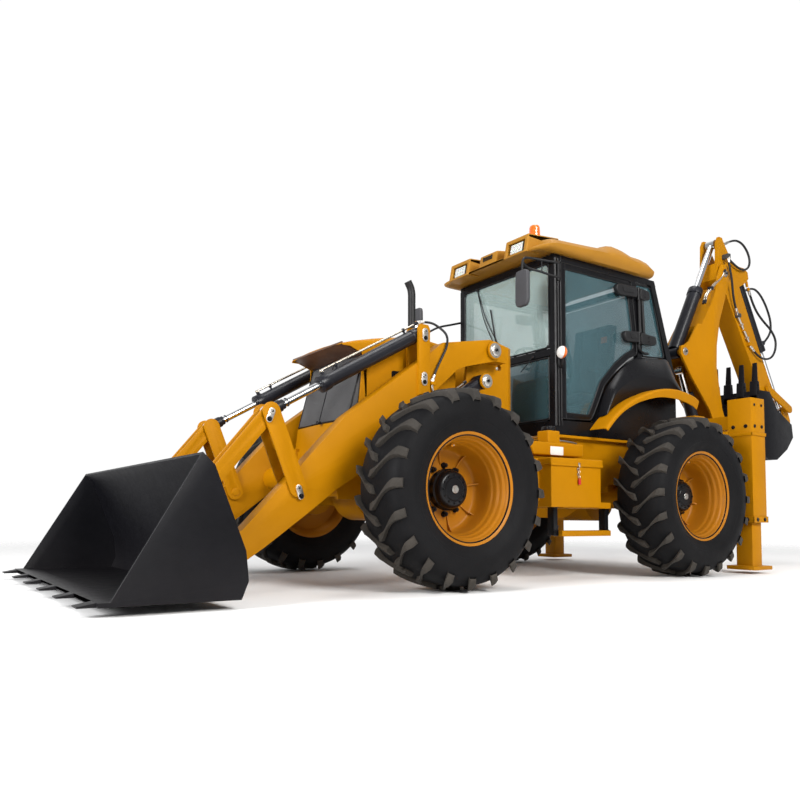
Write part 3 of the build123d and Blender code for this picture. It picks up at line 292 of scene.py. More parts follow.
LOOP_HOSE = [(-4.134, 0.442, 2.046), (-4.218, 0.452, 1.982), (-4.320, 0.464, 1.962), (-4.428, 0.468, 1.992), (-4.500, 0.468, 2.075),
             (-4.515, 0.466, 2.182), (-4.440, 0.460, 2.272), (-4.340, 0.446, 2.338), (-4.254, 0.430, 2.420), (-4.200, 0.416, 2.520),
             (-4.158, 0.413, 2.608)]
RAM_HOSE = [(-4.232, 0.350, 2.660), (-4.318, 0.356, 2.694), (-4.412, 0.364, 2.664), (-4.494, 0.370, 2.588), (-4.560, 0.374, 2.490),
            (-4.608, 0.374, 2.385), (-4.598, 0.372, 2.262), (-4.511, 0.360, 2.185)]


def hose(node, route, diameter):
    cu = bpy.data.curves.new(node + "_line", "CURVE")
    cu.dimensions = "3D"
    sp = cu.splines.new("NURBS")
    sp.points.add(len(route) - 1)
    for p, (x, y, z) in zip(sp.points, route):
        p.co = (x + XA, y, z, 1.0)
    sp.order_u = 3
    sp.use_endpoint_u = True
    sp.resolution_u = 16
    cu.bevel_depth = diameter / 2
    cu.bevel_resolution = 5
    cu.use_fill_caps = True
    cu.materials.append(HOSE)
    ob = bpy.data.objects.new(node + "_line", cu)
    bpy.context.scene.collection.objects.link(ob)
    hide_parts(node)
    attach(ob, FOLLOW[node])
    x, y, z = route[0]
    return ob


hose("left_arm_hose", ARM_HOSE, 0.016)
hose("right_arm_hose", RIGHT_ARM_HOSE, 0.016)
hose("dipper_top_hose", TOP_HOSE, 0.020)
hose("dipper_side_hose", SIDE_HOSE, 0.020)
hose("dipper_loop_hose", LOOP_HOSE, 0.020)
hose("ram_hose", RAM_HOSE, 0.020)

# ------------------------------------------------------------------ mesh tools
class Kit:
    """Gathers simple solids, each with its own bevel, into one piece on one body."""

    def __init__(self, name, body, mat, smooth=35):
        self.name, self.body, self.mat, self.smooth = name, body, mat, smooth
        self.bm = bmesh.new()

    def take(self, part, bevel=0.0, seg=2, angle=28):
        if bevel > 0:
            es = [e for e in part.edges if len(e.link_faces) == 2 and e.calc_face_angle(0) > radians(angle)]
            if es:
                bmesh.ops.bevel(part, geom=es, offset=bevel, segments=seg, profile=0.6, affect="EDGES", clamp_overlap=True)
        me = bpy.data.meshes.new("t")
        part.to_mesh(me)
        part.free()
        self.bm.from_mesh(me)
        bpy.data.meshes.remove(me)
        return self

    def prism(self, pts, d, bevel=0.0, seg=2):
        """pts: polygon in space; d: the way and length it is drawn out."""
        bm = bmesh.new()
        vs = [bm.verts.new(p) for p in pts]
        f = bm.faces.new(vs)
        ext = bmesh.ops.extrude_face_region(bm, geom=[f])
        nv = [e for e in ext["geom"] if isinstance(e, bmesh.types.BMVert)]
        bmesh.ops.translate(bm, verts=nv, vec=d)
        bmesh.ops.recalc_face_normals(bm, faces=bm.faces)
        return self.take(bm, bevel, seg)

    def slab(self, outline, y0, y1, bevel=3.0, seg=2):
        return self.prism([F(x, y0, z) for x, z in outline], Vector((0, (y1 - y0) / 1000, 0)), bevel / 1000, seg)

    def plan(self, outline, z0, z1, bevel=3.0, seg=2):
        return self.prism([F(x, y, z0) for x, y in outline], Vector((0, 0, (z1 - z0) / 1000)), bevel / 1000, seg)

    def across(self, outline, x0, x1, bevel=3.0, seg=2):
        return self.prism([F(x0, y, z) for y, z in outline], Vector(((x1 - x0) / 1000, 0, 0)), bevel / 1000, seg)

    def block(self, x0, x1, y0, y1, z0, z1, bevel=3.0, seg=2):
        return self.plan([(x0, y0), (x1, y0), (x1, y1), (x0, y1)], z0, z1, bevel, seg)

    def lathe(self, profile, origin, axis, segs=32, up=None, caps=True):
        """profile: [(distance along axis, radius)] in metres, open polyline; ends on the axis are closed."""
        axis = axis.normalized()
        u = (up or (Vector((0, 0, 1)) if abs(axis.z) < 0.9 else Vector((1, 0, 0)))).cross(axis).normalized()
        v = axis.cross(u)
        bm = bmesh.new()
        rings = []
        for d, r in profile:
            if r < 1e-6:
                rings.append([bm.verts.new(origin + axis * d)])
            else:
                rings.append([bm.verts.new(origin + axis * d + (u * cos(2 * pi * k / segs) + v * sin(2 * pi * k / segs)) * r)
                              for k in range(segs)])
        for a, b in zip(rings, rings[1:]):
            for k in range(segs):
                k2 = (k + 1) % segs
                if len(a) == 1 and len(b) == 1:
                    continue
                if len(a) == 1:
                    bm.faces.new((a[0], b[k], b[k2]))
                elif len(b) == 1:
                    bm.faces.new((a[k], b[0], a[k2]))
                else:
                    bm.faces.new((a[k], b[k], b[k2], a[k2]))
        if caps:
            for rg in (rings[0], rings[-1]):
                if len(rg) > 1:
                    bm.faces.new(rg)
        bmesh.ops.recalc_face_normals(bm, faces=bm.faces)
        return self.take(bm)

    def bar(self, a, b, r, segs=24, bevel=0.002):
        """Round bar with eased ends; a and b in metres."""
        n = (b - a).length
        c = min(bevel, r * 0.4, n * 0.3)
        return self.lathe([(0, r - c), (c, r), (n - c, r), (n, r - c)], a, b - a, segs)

    def hexbar(self, a, b, r):
        return self.lathe([(0, r), ((b - a).length, r * 0.98), ((b - a).length, r * 0.8)], a, b - a, 6)

    def bolt(self, p, n, r=0.012, h=0.008, washer=True):
        n = n.normalized()
        if washer:
            self.bar(p, p + n * 0.003, r * 1.7, 20, 0.001)
        self.lathe([(0.002, r), (0.002 + h * 0.8, r), (0.002 + h, r * 0.8)], p, n, 6)
        return self

    def tube(self, pts, r, segs=10, caps=True, step=0.012):
        """A round tube along a smooth line through pts (metres)."""
        line = smooth_line(pts, step)
        sweep(self.bm, line, r, segs)
        return self

    def ring(self, p, axis, r, t, segs=32, sub=8):
        prof = [(t * sin(2 * pi * k / sub), r + t * cos(2 * pi * k / sub)) for k in range(sub + 1)]
        return self.lathe(prof, p, axis, segs, caps=False)

    def mirror_y(self):
        """A mirrored copy to the other side."""
        me = bpy.data.meshes.new("t")
        self.bm.to_mesh(me)
        bm2 = bmesh.new()
        bm2.from_mesh(me)
        for v in bm2.verts:
            v.co.y = -v.co.y
        bmesh.ops.reverse_faces(bm2, faces=bm2.faces)
        bm2.to_mesh(me)
        self.bm.from_mesh(me)
        bm2.free()
        bpy.data.meshes.remove(me)
        return self

    def done(self, slot=None, replaces=(), mats=None):
        me = bpy.data.meshes.new(self.name)
        bmesh.ops.remove_doubles(self.bm, verts=self.bm.verts, dist=0.00002)
        for f in self.bm.faces:
            f.smooth = True
        for e in self.bm.edges:
            if len(e.link_faces) == 2 and e.calc_face_angle(0) > radians(self.smooth):
                e.smooth = False
        self.bm.to_mesh(me)
        self.bm.free()
        me.materials.append(self.mat)
        for m in mats or ():
            me.materials.append(m)
        ob = bpy.data.objects.new(self.name, me)
        bpy.context.scene.collection.objects.link(ob)
        if replaces:
            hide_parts(*replaces)
        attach(ob, self.body)
        return ob


def smooth_line(pts, step=0.012):
    """Points along a Catmull-Rom line through pts."""
    P = [Vector(p) for p in pts]
    if len(P) == 2:
        return P
    out = []
    for i in range(len(P) - 1):
        p0 = P[i - 1] if i > 0 else P[0] * 2 - P[1]
        p1, p2 = P[i], P[i + 1]
        p3 = P[i + 2] if i + 2 < len(P) else P[-1] * 2 - P[-2]
        n = max(2, int((p2 - p1).length / step))
        n = min(n, 40)
        for k in range(n):
            t = k / n
            out.append(0.5 * ((2 * p1) + (p2 - p0) * t + (2 * p0 - 5 * p1 + 4 * p2 - p3) * t * t
                              + (3 * p1 - p0 - 3 * p2 + p3) * t * t * t))
    out.append(P[-1])
    return out


def sweep(bm, line, r, segs=10):
    t0 = (line[1] - line[0]).normalized()
    n = t0.orthogonal().normalized()
    prev = None
    for i, p in enumerate(line):
        t = (line[min(i + 1, len(line) - 1)] - line[max(i - 1, 0)]).normalized()
        n = (n - t * n.dot(t)).normalized()
        b = t.cross(n)
        rr = r[i] if isinstance(r, (list, tuple)) else r
        ring = [bm.verts.new(p + (n * cos(2 * pi * k / segs) + b * sin(2 * pi * k / segs)) * rr) for k in range(segs)]
        if prev:
            for k in range(segs):
                bm.faces.new((prev[k], prev[(k + 1) % segs], ring[(k + 1) % segs], ring[k]))
        else:
            bm.faces.new(ring[::-1])
        prev = ring
    bm.faces.new(prev)


def dress(node, mat, bevel=0.004, seg=2, slot=None, angle=30):
    """The CAD node's own shape with eased edges, standing for it."""
    src = NODES[node]
    me = src.data.copy()
    bm = bmesh.new()
    bm.from_mesh(me)
    bm.transform(src.matrix_world)
    bmesh.ops.remove_doubles(bm, verts=bm.verts, dist=0.00005)
    bmesh.ops.dissolve_limit(bm, angle_limit=radians(1.0), verts=bm.verts, edges=bm.edges)
    k = Kit(node + "_shape", FOLLOW[node], mat)
    k.take(bm, bevel, seg, angle)
    return k.done(slot=slot, replaces=[node])


def keep(node, mat):
    """The CAD node stays and gets the finish."""
    ob = NODES[node]
    ob.data.materials.clear()
    ob.data.materials.append(mat)


Y = Vector((0, 1, 0))
X = Vector((1, 0, 0))
Z = Vector((0, 0, 1))

# ------------------------------------------------------------------ wheels
# carcass section, (distance from the centre plane, radius) in mm, outer half; the inner half mirrors it
CARCASS = [(0, 568), (60, 567), (110, 563), (145, 554), (170, 540), (186, 520), (196, 495), (201, 470), (203.5, 452), (204.5, 440),
           (204, 425), (201, 408), (199.5, 402), (197.5, 400), (194, 388), (186, 370), (178, 355), (171, 345), (167, 338), (164, 330)]


def carcass_r(w):
    w = abs(w)
    for (a, ra), (b, rb) in zip(CARCASS, CARCASS[1:]):
        if a <= w <= b:
            return ra + (rb - ra) * (w - a) / (b - a)
    return 470


def lug(bm, place, side, th0):
    """One curved lug from the shoulder on one side to just over the centre line."""
    N = 13
    path = [  # (t, distance from centre, drop round the tyre at its middle, half width, top radius)
    ]
    rows = []
    for i in range(N):
        t = i / (N - 1)
        w = 193 - 205 * t
        drop = 8 + 128 * (0.15 * t + 0.85 * (3 * t * t - 2 * t ** 3))
        hw = 27 + 5 * sin(pi * min(1, t * 1.1)) - (4 if i == N - 1 else 0)
        top = 594.5 - 12 * (w / 150) ** 2
        if i == 0:
            top -= 16
        rows.append((w, drop, hw, top))
    rings = []
    for i, (w, drop, hw, top) in enumerate(rows):
        th = th0 - drop / 575
        slope = 0.0
        if 0 < i < N - 1:
            dw = rows[i + 1][0] - rows[i - 1][0]
            dd = rows[i + 1][1] - rows[i - 1][1]
            slope = dd / abs(dw)
        elif i == N - 1:
            slope = 0.35
        # the width runs square to the lug's own path
        nx = sqrt(1 + slope * slope)
        h_t, h_w = hw / nx, hw * slope / nx
        base = carcass_r(w) - 6
        sec = []
        for f, r in ((-1.16, base), (-1.0, top - 7), (-0.82, top), (0.82, top), (1.0, top - 7), (1.16, base)):
            a = th + f * h_t / 580
            ww = side * (w + f * h_w) * 1.0
            rr = r
            if r == base:
                rr = carcass_r(max(-196, min(196, w + f * h_w))) - 6
            sec.append(bm.verts.new(place(ww, rr, a)))
        rings.append(sec)
    for a, b in zip(rings, rings[1:]):
        for k in range(5):
            bm.faces.new((a[k], a[k + 1], b[k + 1], b[k]))
    # the shoulder end runs down the side, the inner end is cut square
    w, drop, hw, top = rows[0]
    th = th0 - (drop - 3) / 575
    foot = [bm.verts.new(place(side * ww, rr, th + f * hw / 585)) for f, ww, rr in
            ((-1.05, 199, 512), (-0.9, 202.5, 518), (-0.7, 203.5, 524), (0.7, 203.5, 524), (0.9, 202.5, 518), (1.05, 199, 512))]
    for k in range(5):
        bm.faces.new((foot[k], foot[k + 1], rings[0][k + 1], rings[0][k]))
    bm.faces.new(rings[-1])
    bm.faces.new(foot)


def make_tyre(name, cx, s):
    def place(w, r, a):
        return Vector((cx + r / 1000 * cos(a), s * (WHEEL_Y + w / 1000), R + r / 1000 * sin(a)))
    bm = bmesh.new()
    prof = [(-w, r) for w, r in reversed(CARCASS)] + CARCASS[1:]
    prof += [(158, 322), (160, 306), (-160, 306), (-158, 322)]
    N = 120
    rings = [[bm.verts.new(place(w, r, 2 * pi * k / N)) for k in range(N)] for w, r in prof]
    rings.append(rings[0])
    for a, b in zip(rings, rings[1:]):
        for k in range(N):
            bm.faces.new((a[k], a[(k + 1) % N], b[(k + 1) % N], b[k]))
    bmesh.ops.recalc_face_normals(bm, faces=bm.faces)
    nb = len(bm.faces)
    bl = bmesh.new()
    for i in range(20):
        lug(bl, place, 1, 2 * pi * i / 20 + 0.05)
        lug(bl, place, -1, 2 * pi * (i + 0.5) / 20 + 0.05)
    bmesh.ops.recalc_face_normals(bl, faces=bl.faces)
    for f in bl.faces:
        f.material_index = 1
    t = bpy.data.meshes.new("t")
    bl.to_mesh(t)
    bl.free()
    k = Kit(name + "_tread", FOLLOW[name], RUBBER, smooth=28)
    k.bm = bm
    bm.from_mesh(t)
    bpy.data.meshes.remove(t)
    return k.done(slot="tyre", replaces=[name], mats=[TREAD])


# rim section seen from outside, (distance from the centre plane, radius) in mm
RIM_SEC = [(-160, 300), (-166, 316), (-166, 331), (-158, 331), (-150, 305.5), (150, 305.5), (157, 331), (162, 331.5), (166, 329),
           (165, 324), (158, 312), (150, 303), (142, 299), (134, 298), (128, 294), (124, 288), (118, 285), (104, 284),
           (96, 282), (90, 275), (84, 272), (66, 271), (56, 270), (50, 264), (44, 262), (10, 261), (-40, 258), (-70, 254),
           (-84, 246), (-88, 236), (-88, 190), (-86, 160), (-82, 140), (-82, 118), (-104, 118), (-104, 240), (-110, 262),
           (-140, 280), (-160, 300)]


def make_rim(name, cx, s):
    o = Vector((cx, s * WHEEL_Y, R))
    ax = Y * s

    def P(w, r, a):
        return Vector((cx + r / 1000 * cos(a), s * (WHEEL_Y + w / 1000), R + r / 1000 * sin(a)))
    k = Kit(name + "_shape", FOLLOW[name], AMBER, smooth=40)
    k.lathe([(w / 1000, r / 1000) for w, r in RIM_SEC], o, ax, 96, caps=False)
    a0 = 0.62 if "front" in name else 0.2
    for i in range(8):                      # gussets between the disc and the well
        a = a0 + 2 * pi * i / 8
        d = Vector((-sin(a), 0, cos(a))) * 0.004
        pts = [P(-90, 150, a), P(-90, 252, a), P(-48, 259, a), P(-58, 250, a), P(-74, 215, a), P(-80, 150, a)]
        k.prism([p - d for p in pts], d * 2, 0.0015)
    for a in (1.25, ):                      # valve bracket
        k.prism([P(60, 269, a - 0.06), P(60, 269, a + 0.06), P(60, 256, a + 0.05), P(60, 256, a - 0.05)], ax * 0.045, 0.002)
    k.done(slot="yellow_paint", replaces=[name])
    h = Kit(name + "_hub", FOLLOW[name], BLACK, smooth=35)
    h.lathe([(-0.104, 0.118), (-0.066, 0.124), (-0.06, 0.121), (-0.05, 0.121), (-0.045, 0.125), (-0.03, 0.125), (-0.022, 0.116),
             (-0.006, 0.114), (0.004, 0.110), (0.014, 0.100), (0.018, 0.094), (0.018, 0.07), (0.022, 0.066), (0.024, 0.03), (0.024, 0)],
            o, ax, 64)
    for i in range(10):
        a = 2 * pi * (i + 0.5) / 10
        q = P(-86, 146, a)
        h.bar(q, q + ax * 0.012, 0.019, 20, 0.002)
        h.hexbar(q + ax * 0.012, q + ax * 0.03, 0.0145)
        h.bar(q + ax * 0.03, q + ax * 0.038, 0.007, 12, 0.002)
    for i in range(12):
        a = 2 * pi * i / 12
        h.bolt(P(17, 84, a), ax, 0.006, 0.006, washer=False)
    h.done(slot="black_paint")
    c = Kit(name + "_cap", FOLLOW[name], STEEL)
    c.lathe([(0.022, 0.024), (0.028, 0.024), (0.030, 0.022), (0.030, 0.014), (0.033, 0.012), (0.033, 0)], o, ax, 28)
    v = P(62, 262, 1.25)
    c.tube([v, v + ax * 0.02, v + ax * 0.05 + Z * 0.003 * 0], 0.004, 8)
    c.done(slot="chrome")


for nm, cx, s in (("front_left", XA, 1), ("front_right", XA, -1), ("rear_left", XA - WB, 1), ("rear_right", XA - WB, -1)):
    make_tyre(nm + "_tyre", cx, s)
    make_rim(nm + "_rim", cx, s)

# ------------------------------------------------------------------ pieces that keep the CAD's shape, with eased edges
for node, mat, bev, slot in (
        ("front_frame", YELLOW, 0.004, "yellow_paint"), ("loader_arms", YELLOW, 0.0035, "yellow_paint"),
        ("bucket_levers", YELLOW, 0.003, "yellow_paint"), ("bucket_links", YELLOW, 0.003, "yellow_paint"),
        ("loader_bucket", CHARCOAL, 0.003, "charcoal_paint"), ("rear_frame", YELLOW, 0.004, "yellow_paint"),
        ("stabilizer_frame", YELLOW, 0.004, "yellow_paint"), ("left_stabilizer", YELLOW, 0.003, "yellow_paint"),
        ("right_stabilizer", YELLOW, 0.003, "yellow_paint"), ("side_shift_carriage", YELLOW, 0.004, "yellow_paint"),
        ("kingpost", YELLOW, 0.004, "yellow_paint"), ("boom", YELLOW, 0.004, "yellow_paint"),
        ("dipper", YELLOW, 0.004, "yellow_paint"), ("dipper_lever", YELLOW, 0.003, "yellow_paint"),
        ("dipper_link", YELLOW, 0.003, "yellow_paint"), ("backhoe_bucket", CHARCOAL, 0.003, "charcoal_paint"),
        ("engine_block", DARKIRON, 0.01, "cast_metal"),
        ("lift_barrels", CYL, 0.002, "charcoal_paint"), ("tilt_barrels", CYL, 0.002, "charcoal_paint"),
        ("steering_barrel", CYL, 0.002, "charcoal_paint"), ("boom_ram_barrel", CYL, 0.002, "charcoal_paint"),
        ("dipper_ram_barrel", CYL, 0.002, "charcoal_paint"), ("bucket_ram_barrel", CYL, 0.002, "charcoal_paint"),
        ("front_axle", YELLOW, 0.006, "yellow_paint"), ("rear_axle", YELLOW, 0.006, "yellow_paint")):
    dress(node, mat, bev, slot=slot)
for node in ("lift_rods", "tilt_rods", "steering_rod", "boom_ram_rod", "dipper_ram_rod", "bucket_ram_rod"):
    keep(node, CHROME)


# ------------------------------------------------------------------ surface helpers
def grid_piece(kit, rows, thick=0.0, closed=False):
    """A surface through rows of points (metres), given thickness inwards if asked."""
    bm = bmesh.new()
    vs = [[bm.verts.new(p) for p in r] for r in rows]
    for a, b in zip(vs, vs[1:]):
        n = len(a)
        for k in range(n if closed else n - 1):
            bm.faces.new((a[k], a[(k + 1) % n], b[(k + 1) % n], b[k]))
    bmesh.ops.recalc_face_normals(bm, faces=bm.faces)
    if thick:
        bmesh.ops.solidify(bm, geom=bm.faces[:], thickness=thick)
        bmesh.ops.recalc_face_normals(bm, faces=bm.faces)
    return kit.take(bm)


def loop_frame(kit, outer, inner, y0, y1, bevel=2.0):
    """A flat frame in the side view between two outlines with as many points, from y0 to y1."""
    bm = bmesh.new()
    n = len(outer)
    o0, o1 = [bm.verts.new(F(x, y0, z)) for x, z in outer], [bm.verts.new(F(x, y1, z)) for x, z in outer]
    i0, i1 = [bm.verts.new(F(x, y0, z)) for x, z in inner], [bm.verts.new(F(x, y1, z)) for x, z in inner]
    for k in range(n):
        j = (k + 1) % n
        for a, b in ((o0, o1), (i1, i0), (i0, o0), (o1, i1)):
            bm.faces.new((a[k], a[j], b[j], b[k]))
    bmesh.ops.recalc_face_normals(bm, faces=bm.faces)
    return kit.take(bm, bevel / 1000, 2, 50)


def round_outline(pts, r, seg=5):
    """The outline with its corners rounded."""
    out = []
    n = len(pts)
    for i in range(n):
        p0, p1, p2 = (Vector(pts[(i + d) % n]) for d in (-1, 0, 1))
        a, b = (p0 - p1), (p2 - p1)
        la, lb = a.length, b.length
        t = min(r, la * 0.45, lb * 0.45)
        q0, q2 = p1 + a.normalized() * t, p1 + b.normalized() * t
        for k in range(seg + 1):
            u = k / seg
            out.append(tuple(q0 * (1 - u) ** 2 + p1 * 2 * u * (1 - u) + q2 * u * u))
    return out


# ------------------------------------------------------------------ hood, grille, nose
HOOD = [(-518, 1012), (-518, 1638), (-300, 1666), (-100, 1659), (-28, 1652), (140, 1623), (300, 1586), (410, 1554)]


def hood_shell():
    k = Kit("hood_shell", "hood", YELLOW, smooth=30)
    W = 0.344
    # cross section of the top: flat crown that turns down into the side
    xs = []
    for (x0, z0), (x1, z1) in zip(HOOD[1:], HOOD[2:]):
        n = max(2, int((x1 - x0) / 40))
        xs += [(x0 + (x1 - x0) * i / n, z0 + (z1 - z0) * i / n) for i in range(n)]
    xs.append(HOOD[-1])
    rows = []
    for x, zt in xs:
        row = []
        rad = 46 if x < 150 else max(10, 46 - (x - 150) * 0.14)
        if x <= 235:
            zb = 1012
        elif x <= 250:
            zb = 1484
        else:
            zb = 1484 + (x - 250) * (1544 - 1484) / (410 - 250)
        half = [(0, 0), (0.3, 1.5), (0.6, 6), (0.8, 12)]
        pts = [(W * f, zt - d) for f, d in half]
        cy, cz = W - rad / 1000, zt - 16 - rad
        for i in range(7):
            a = pi / 2 * (1 - i / 6)
            pts.append((cy + rad / 1000 * cos(a), cz + rad * sin(a)))
        zlow = min(zb, cz - 4)
        for i in range(1, 5):
            pts.append((W, cz + (zlow - cz) * i / 4))
        row = [F(x, -y * 1000, z) for y, z in reversed(pts)] + [F(x, y * 1000, z) for y, z in pts[1:]]
        rows.append(row)
    # the side's front edge runs down and forward from the brow, below it the section steps out to the slant
    grid_piece(k, rows, thick=0.006)
    for s in (-1, 1):
        y0, y1 = (338, 344) if s > 0 else (-344, -338)
        k.slab([(225, 1012), (238, 1012), (238, 1058), (300, 1058), (252, 1478), (225, 1478)], y0, y1, 1)
    k.done(slot="yellow_paint")
    # underside of the hood's brow in darkened yellow, painted shade under the overhang
    u = Kit("brow_painted_shade", "hood", BROW_PAINTED_SHADE, smooth=30)
    u.prism([F(409, -326, 1540), F(409, 326, 1540), F(250, 326, 1482), F(250, -326, 1482)], Vector((0, 0, 0.008)), 0.002)
    u.prism([F(410, -332, 1538), F(410, 332, 1538), F(402, 332, 1536), F(402, -332, 1536)], Vector((0, 0, 0.012)), 0.003)
    u.done(slot="yellow_paint")
    # seam of the front side panel and the air slot
    d = Kit("hood_seams_and_slot_shade", "hood", BLACK)
    for s in (-1, 1):
        y = s * 344.4
        d.slab([(-119, 1030), (-116, 1030), (-116, 1590), (-119, 1590)], y - 0.6, y + 0.6, 0)
        # the air slot is a flat black sheet, painted shade standing for the shaded inside of the opening
        d.slab(round_outline([(-98, 1330), (28, 1345), (30, 1398), (-96, 1400)], 16), y - 0.8, y + 0.8, 0)
    d.done(slot="black_paint", replaces=["hood"])


hood_shell()


def lattice(kit, p00, p10, p01, p11, pitch, wire, depth):
    """Two crossing sets of wires over a four-cornered plane patch."""
    u, v = p10 - p00, p01 - p00
    n = u.cross(v).normalized()
    nu, nv = u.length, v.length

    def at(a, b):
        return (p00 * (1 - a) + p10 * a) * (1 - b) + (p01 * (1 - a) + p11 * a) * b
    for sgn in (1, -1):
        off = n * (depth * 0.5 * sgn)
        c = -nv
        while c < nu + nv:
            # the line x = c + sgn*y in plane units, clipped to the patch
            pts = []
            for yy in (0.0, nv):
                pass
            y0, y1 = 0.0, nv
            x0, x1 = (c, c + nv) if sgn > 0 else (c + nv, c)
            if max(x0, x1) > 0 and min(x0, x1) < nu:
                def clip(xa, ya, xb, yb):
                    ta, tb = 0.0, 1.0
                    dx = xb - xa
                    if dx:
                        for lim, lo in ((0.0, True), (nu, False)):
                            t = (lim - xa) / dx
                            if (dx > 0) == lo:
                                ta = max(ta, t)
                            else:
                                tb = min(tb, t)
                    return ta, tb
                ta, tb = clip(x0, y0, x1, y1)
                if tb - ta > 0.01:
                    a = at((x0 + (x1 - x0) * ta) / nu, (y0 + (y1 - y0) * ta) / nv) + off
                    b = at((x0 + (x1 - x0) * tb) / nu, (y0 + (y1 - y0) * tb) / nv) + off
                    d = (b - a).normalized()
                    w = d.cross(n).normalized() * wire / 2
                    bm = bmesh.new()
                    vs = [bm.verts.new(p) for p in (a - w - n * depth / 2, a + w - n * depth / 2, a + w + n * depth / 2, a - w + n * depth / 2)]
                    ve = [bm.verts.new(p) for p in (b - w - n * depth / 2, b + w - n * depth / 2, b + w + n * depth / 2, b - w + n * depth / 2)]
                    for i in range(4):
                        j = (i + 1) % 4
                        bm.faces.new((vs[i], vs[j], ve[j], ve[i]))
                    bm.faces.new(vs); bm.faces.new(ve)
                    bmesh.ops.recalc_face_normals(bm, faces=bm.faces)
                    kit.take(bm)
            c += pitch


def grille():
    k = Kit("grille_mesh", "front_frame", MESH)
    for s in (-1, 1):
        lattice(k, F(357, s * 324, 1060), F(381, 0, 1060), F(240, s * 324, 1480), F(262, 0, 1480), 0.0125, 0.0042, 0.0025)
        # short returns at the sides
        lattice(k, F(302, s * 327, 1060), F(357, s * 327, 1060), F(210, s * 327, 1480), F(238, s * 327, 1480), 0.0125, 0.0042, 0.0025)
    k.done(slot="black_paint", replaces=["grille"])
    e = Kit("grille_trim", "front_frame", BLACK)
    for s in (-1, 1):
        e.tube([F(358, s * 326, 1056), F(240, s * 326, 1484)], 0.006, 8)
        e.tube([F(358, s * 326, 1056), F(382, 0, 1056)], 0.007, 8)
        e.tube([F(240, s * 326, 1482), F(263, 0, 1482)], 0.006, 8)
    e.tube([F(382, 0, 1056), F(263, 0, 1484)], 0.005, 8)
    e.done(slot="black_paint")
    r = Kit("radiator", "front_frame", DARKIRON)
    r.block(130, 190, -300, 300, 1060, 1470, 4)
    for i in range(24):
        z = 1075 + i * 16.5
        r.block(190, 196, -290, 290, z, z + 5, 0)
    r.done(slot="cast_metal")


grille()


# ------------------------------------------------------------------ exhaust and intake
def exhaust():
    k = Kit("exhaust_stack", "front_frame", PLASTIC, smooth=40)
    k.tube([F(-595, -255, 1480), F(-595, -255, 1800), F(-595, -255, 2120), F(-594, -255, 2170), F(-584, -255, 2215), F(-556, -255, 2262)],
           0.030, 24)
    k.ring(F(-595, -255, 1520), Z, 0.033, 0.006)
    k.block(-660, -540, -300, -120, 1006, 1500, 18, 3)
    k.done(slot="black_paint", replaces=["exhaust_pipe"])


exhaust()


# ------------------------------------------------------------------ cab
DOOR = [(-1406, 1166), (-1406, 2350), (-2226, 2350), (-2290, 1900), (-2290, 1756), (-2185, 1712), (-2045, 1614), (-1882, 1460),
        (-1804, 1310), (-1756, 1225), (-1722, 1178)]
DOOR_WIN = [(-1452, 1212), (-1452, 2308), (-2178, 2308), (-2244, 1900), (-2246, 1790), (-2164, 1752), (-2016, 1650), (-1842, 1486),
            (-1764, 1332), (-1722, 1254), (-1700, 1212)]


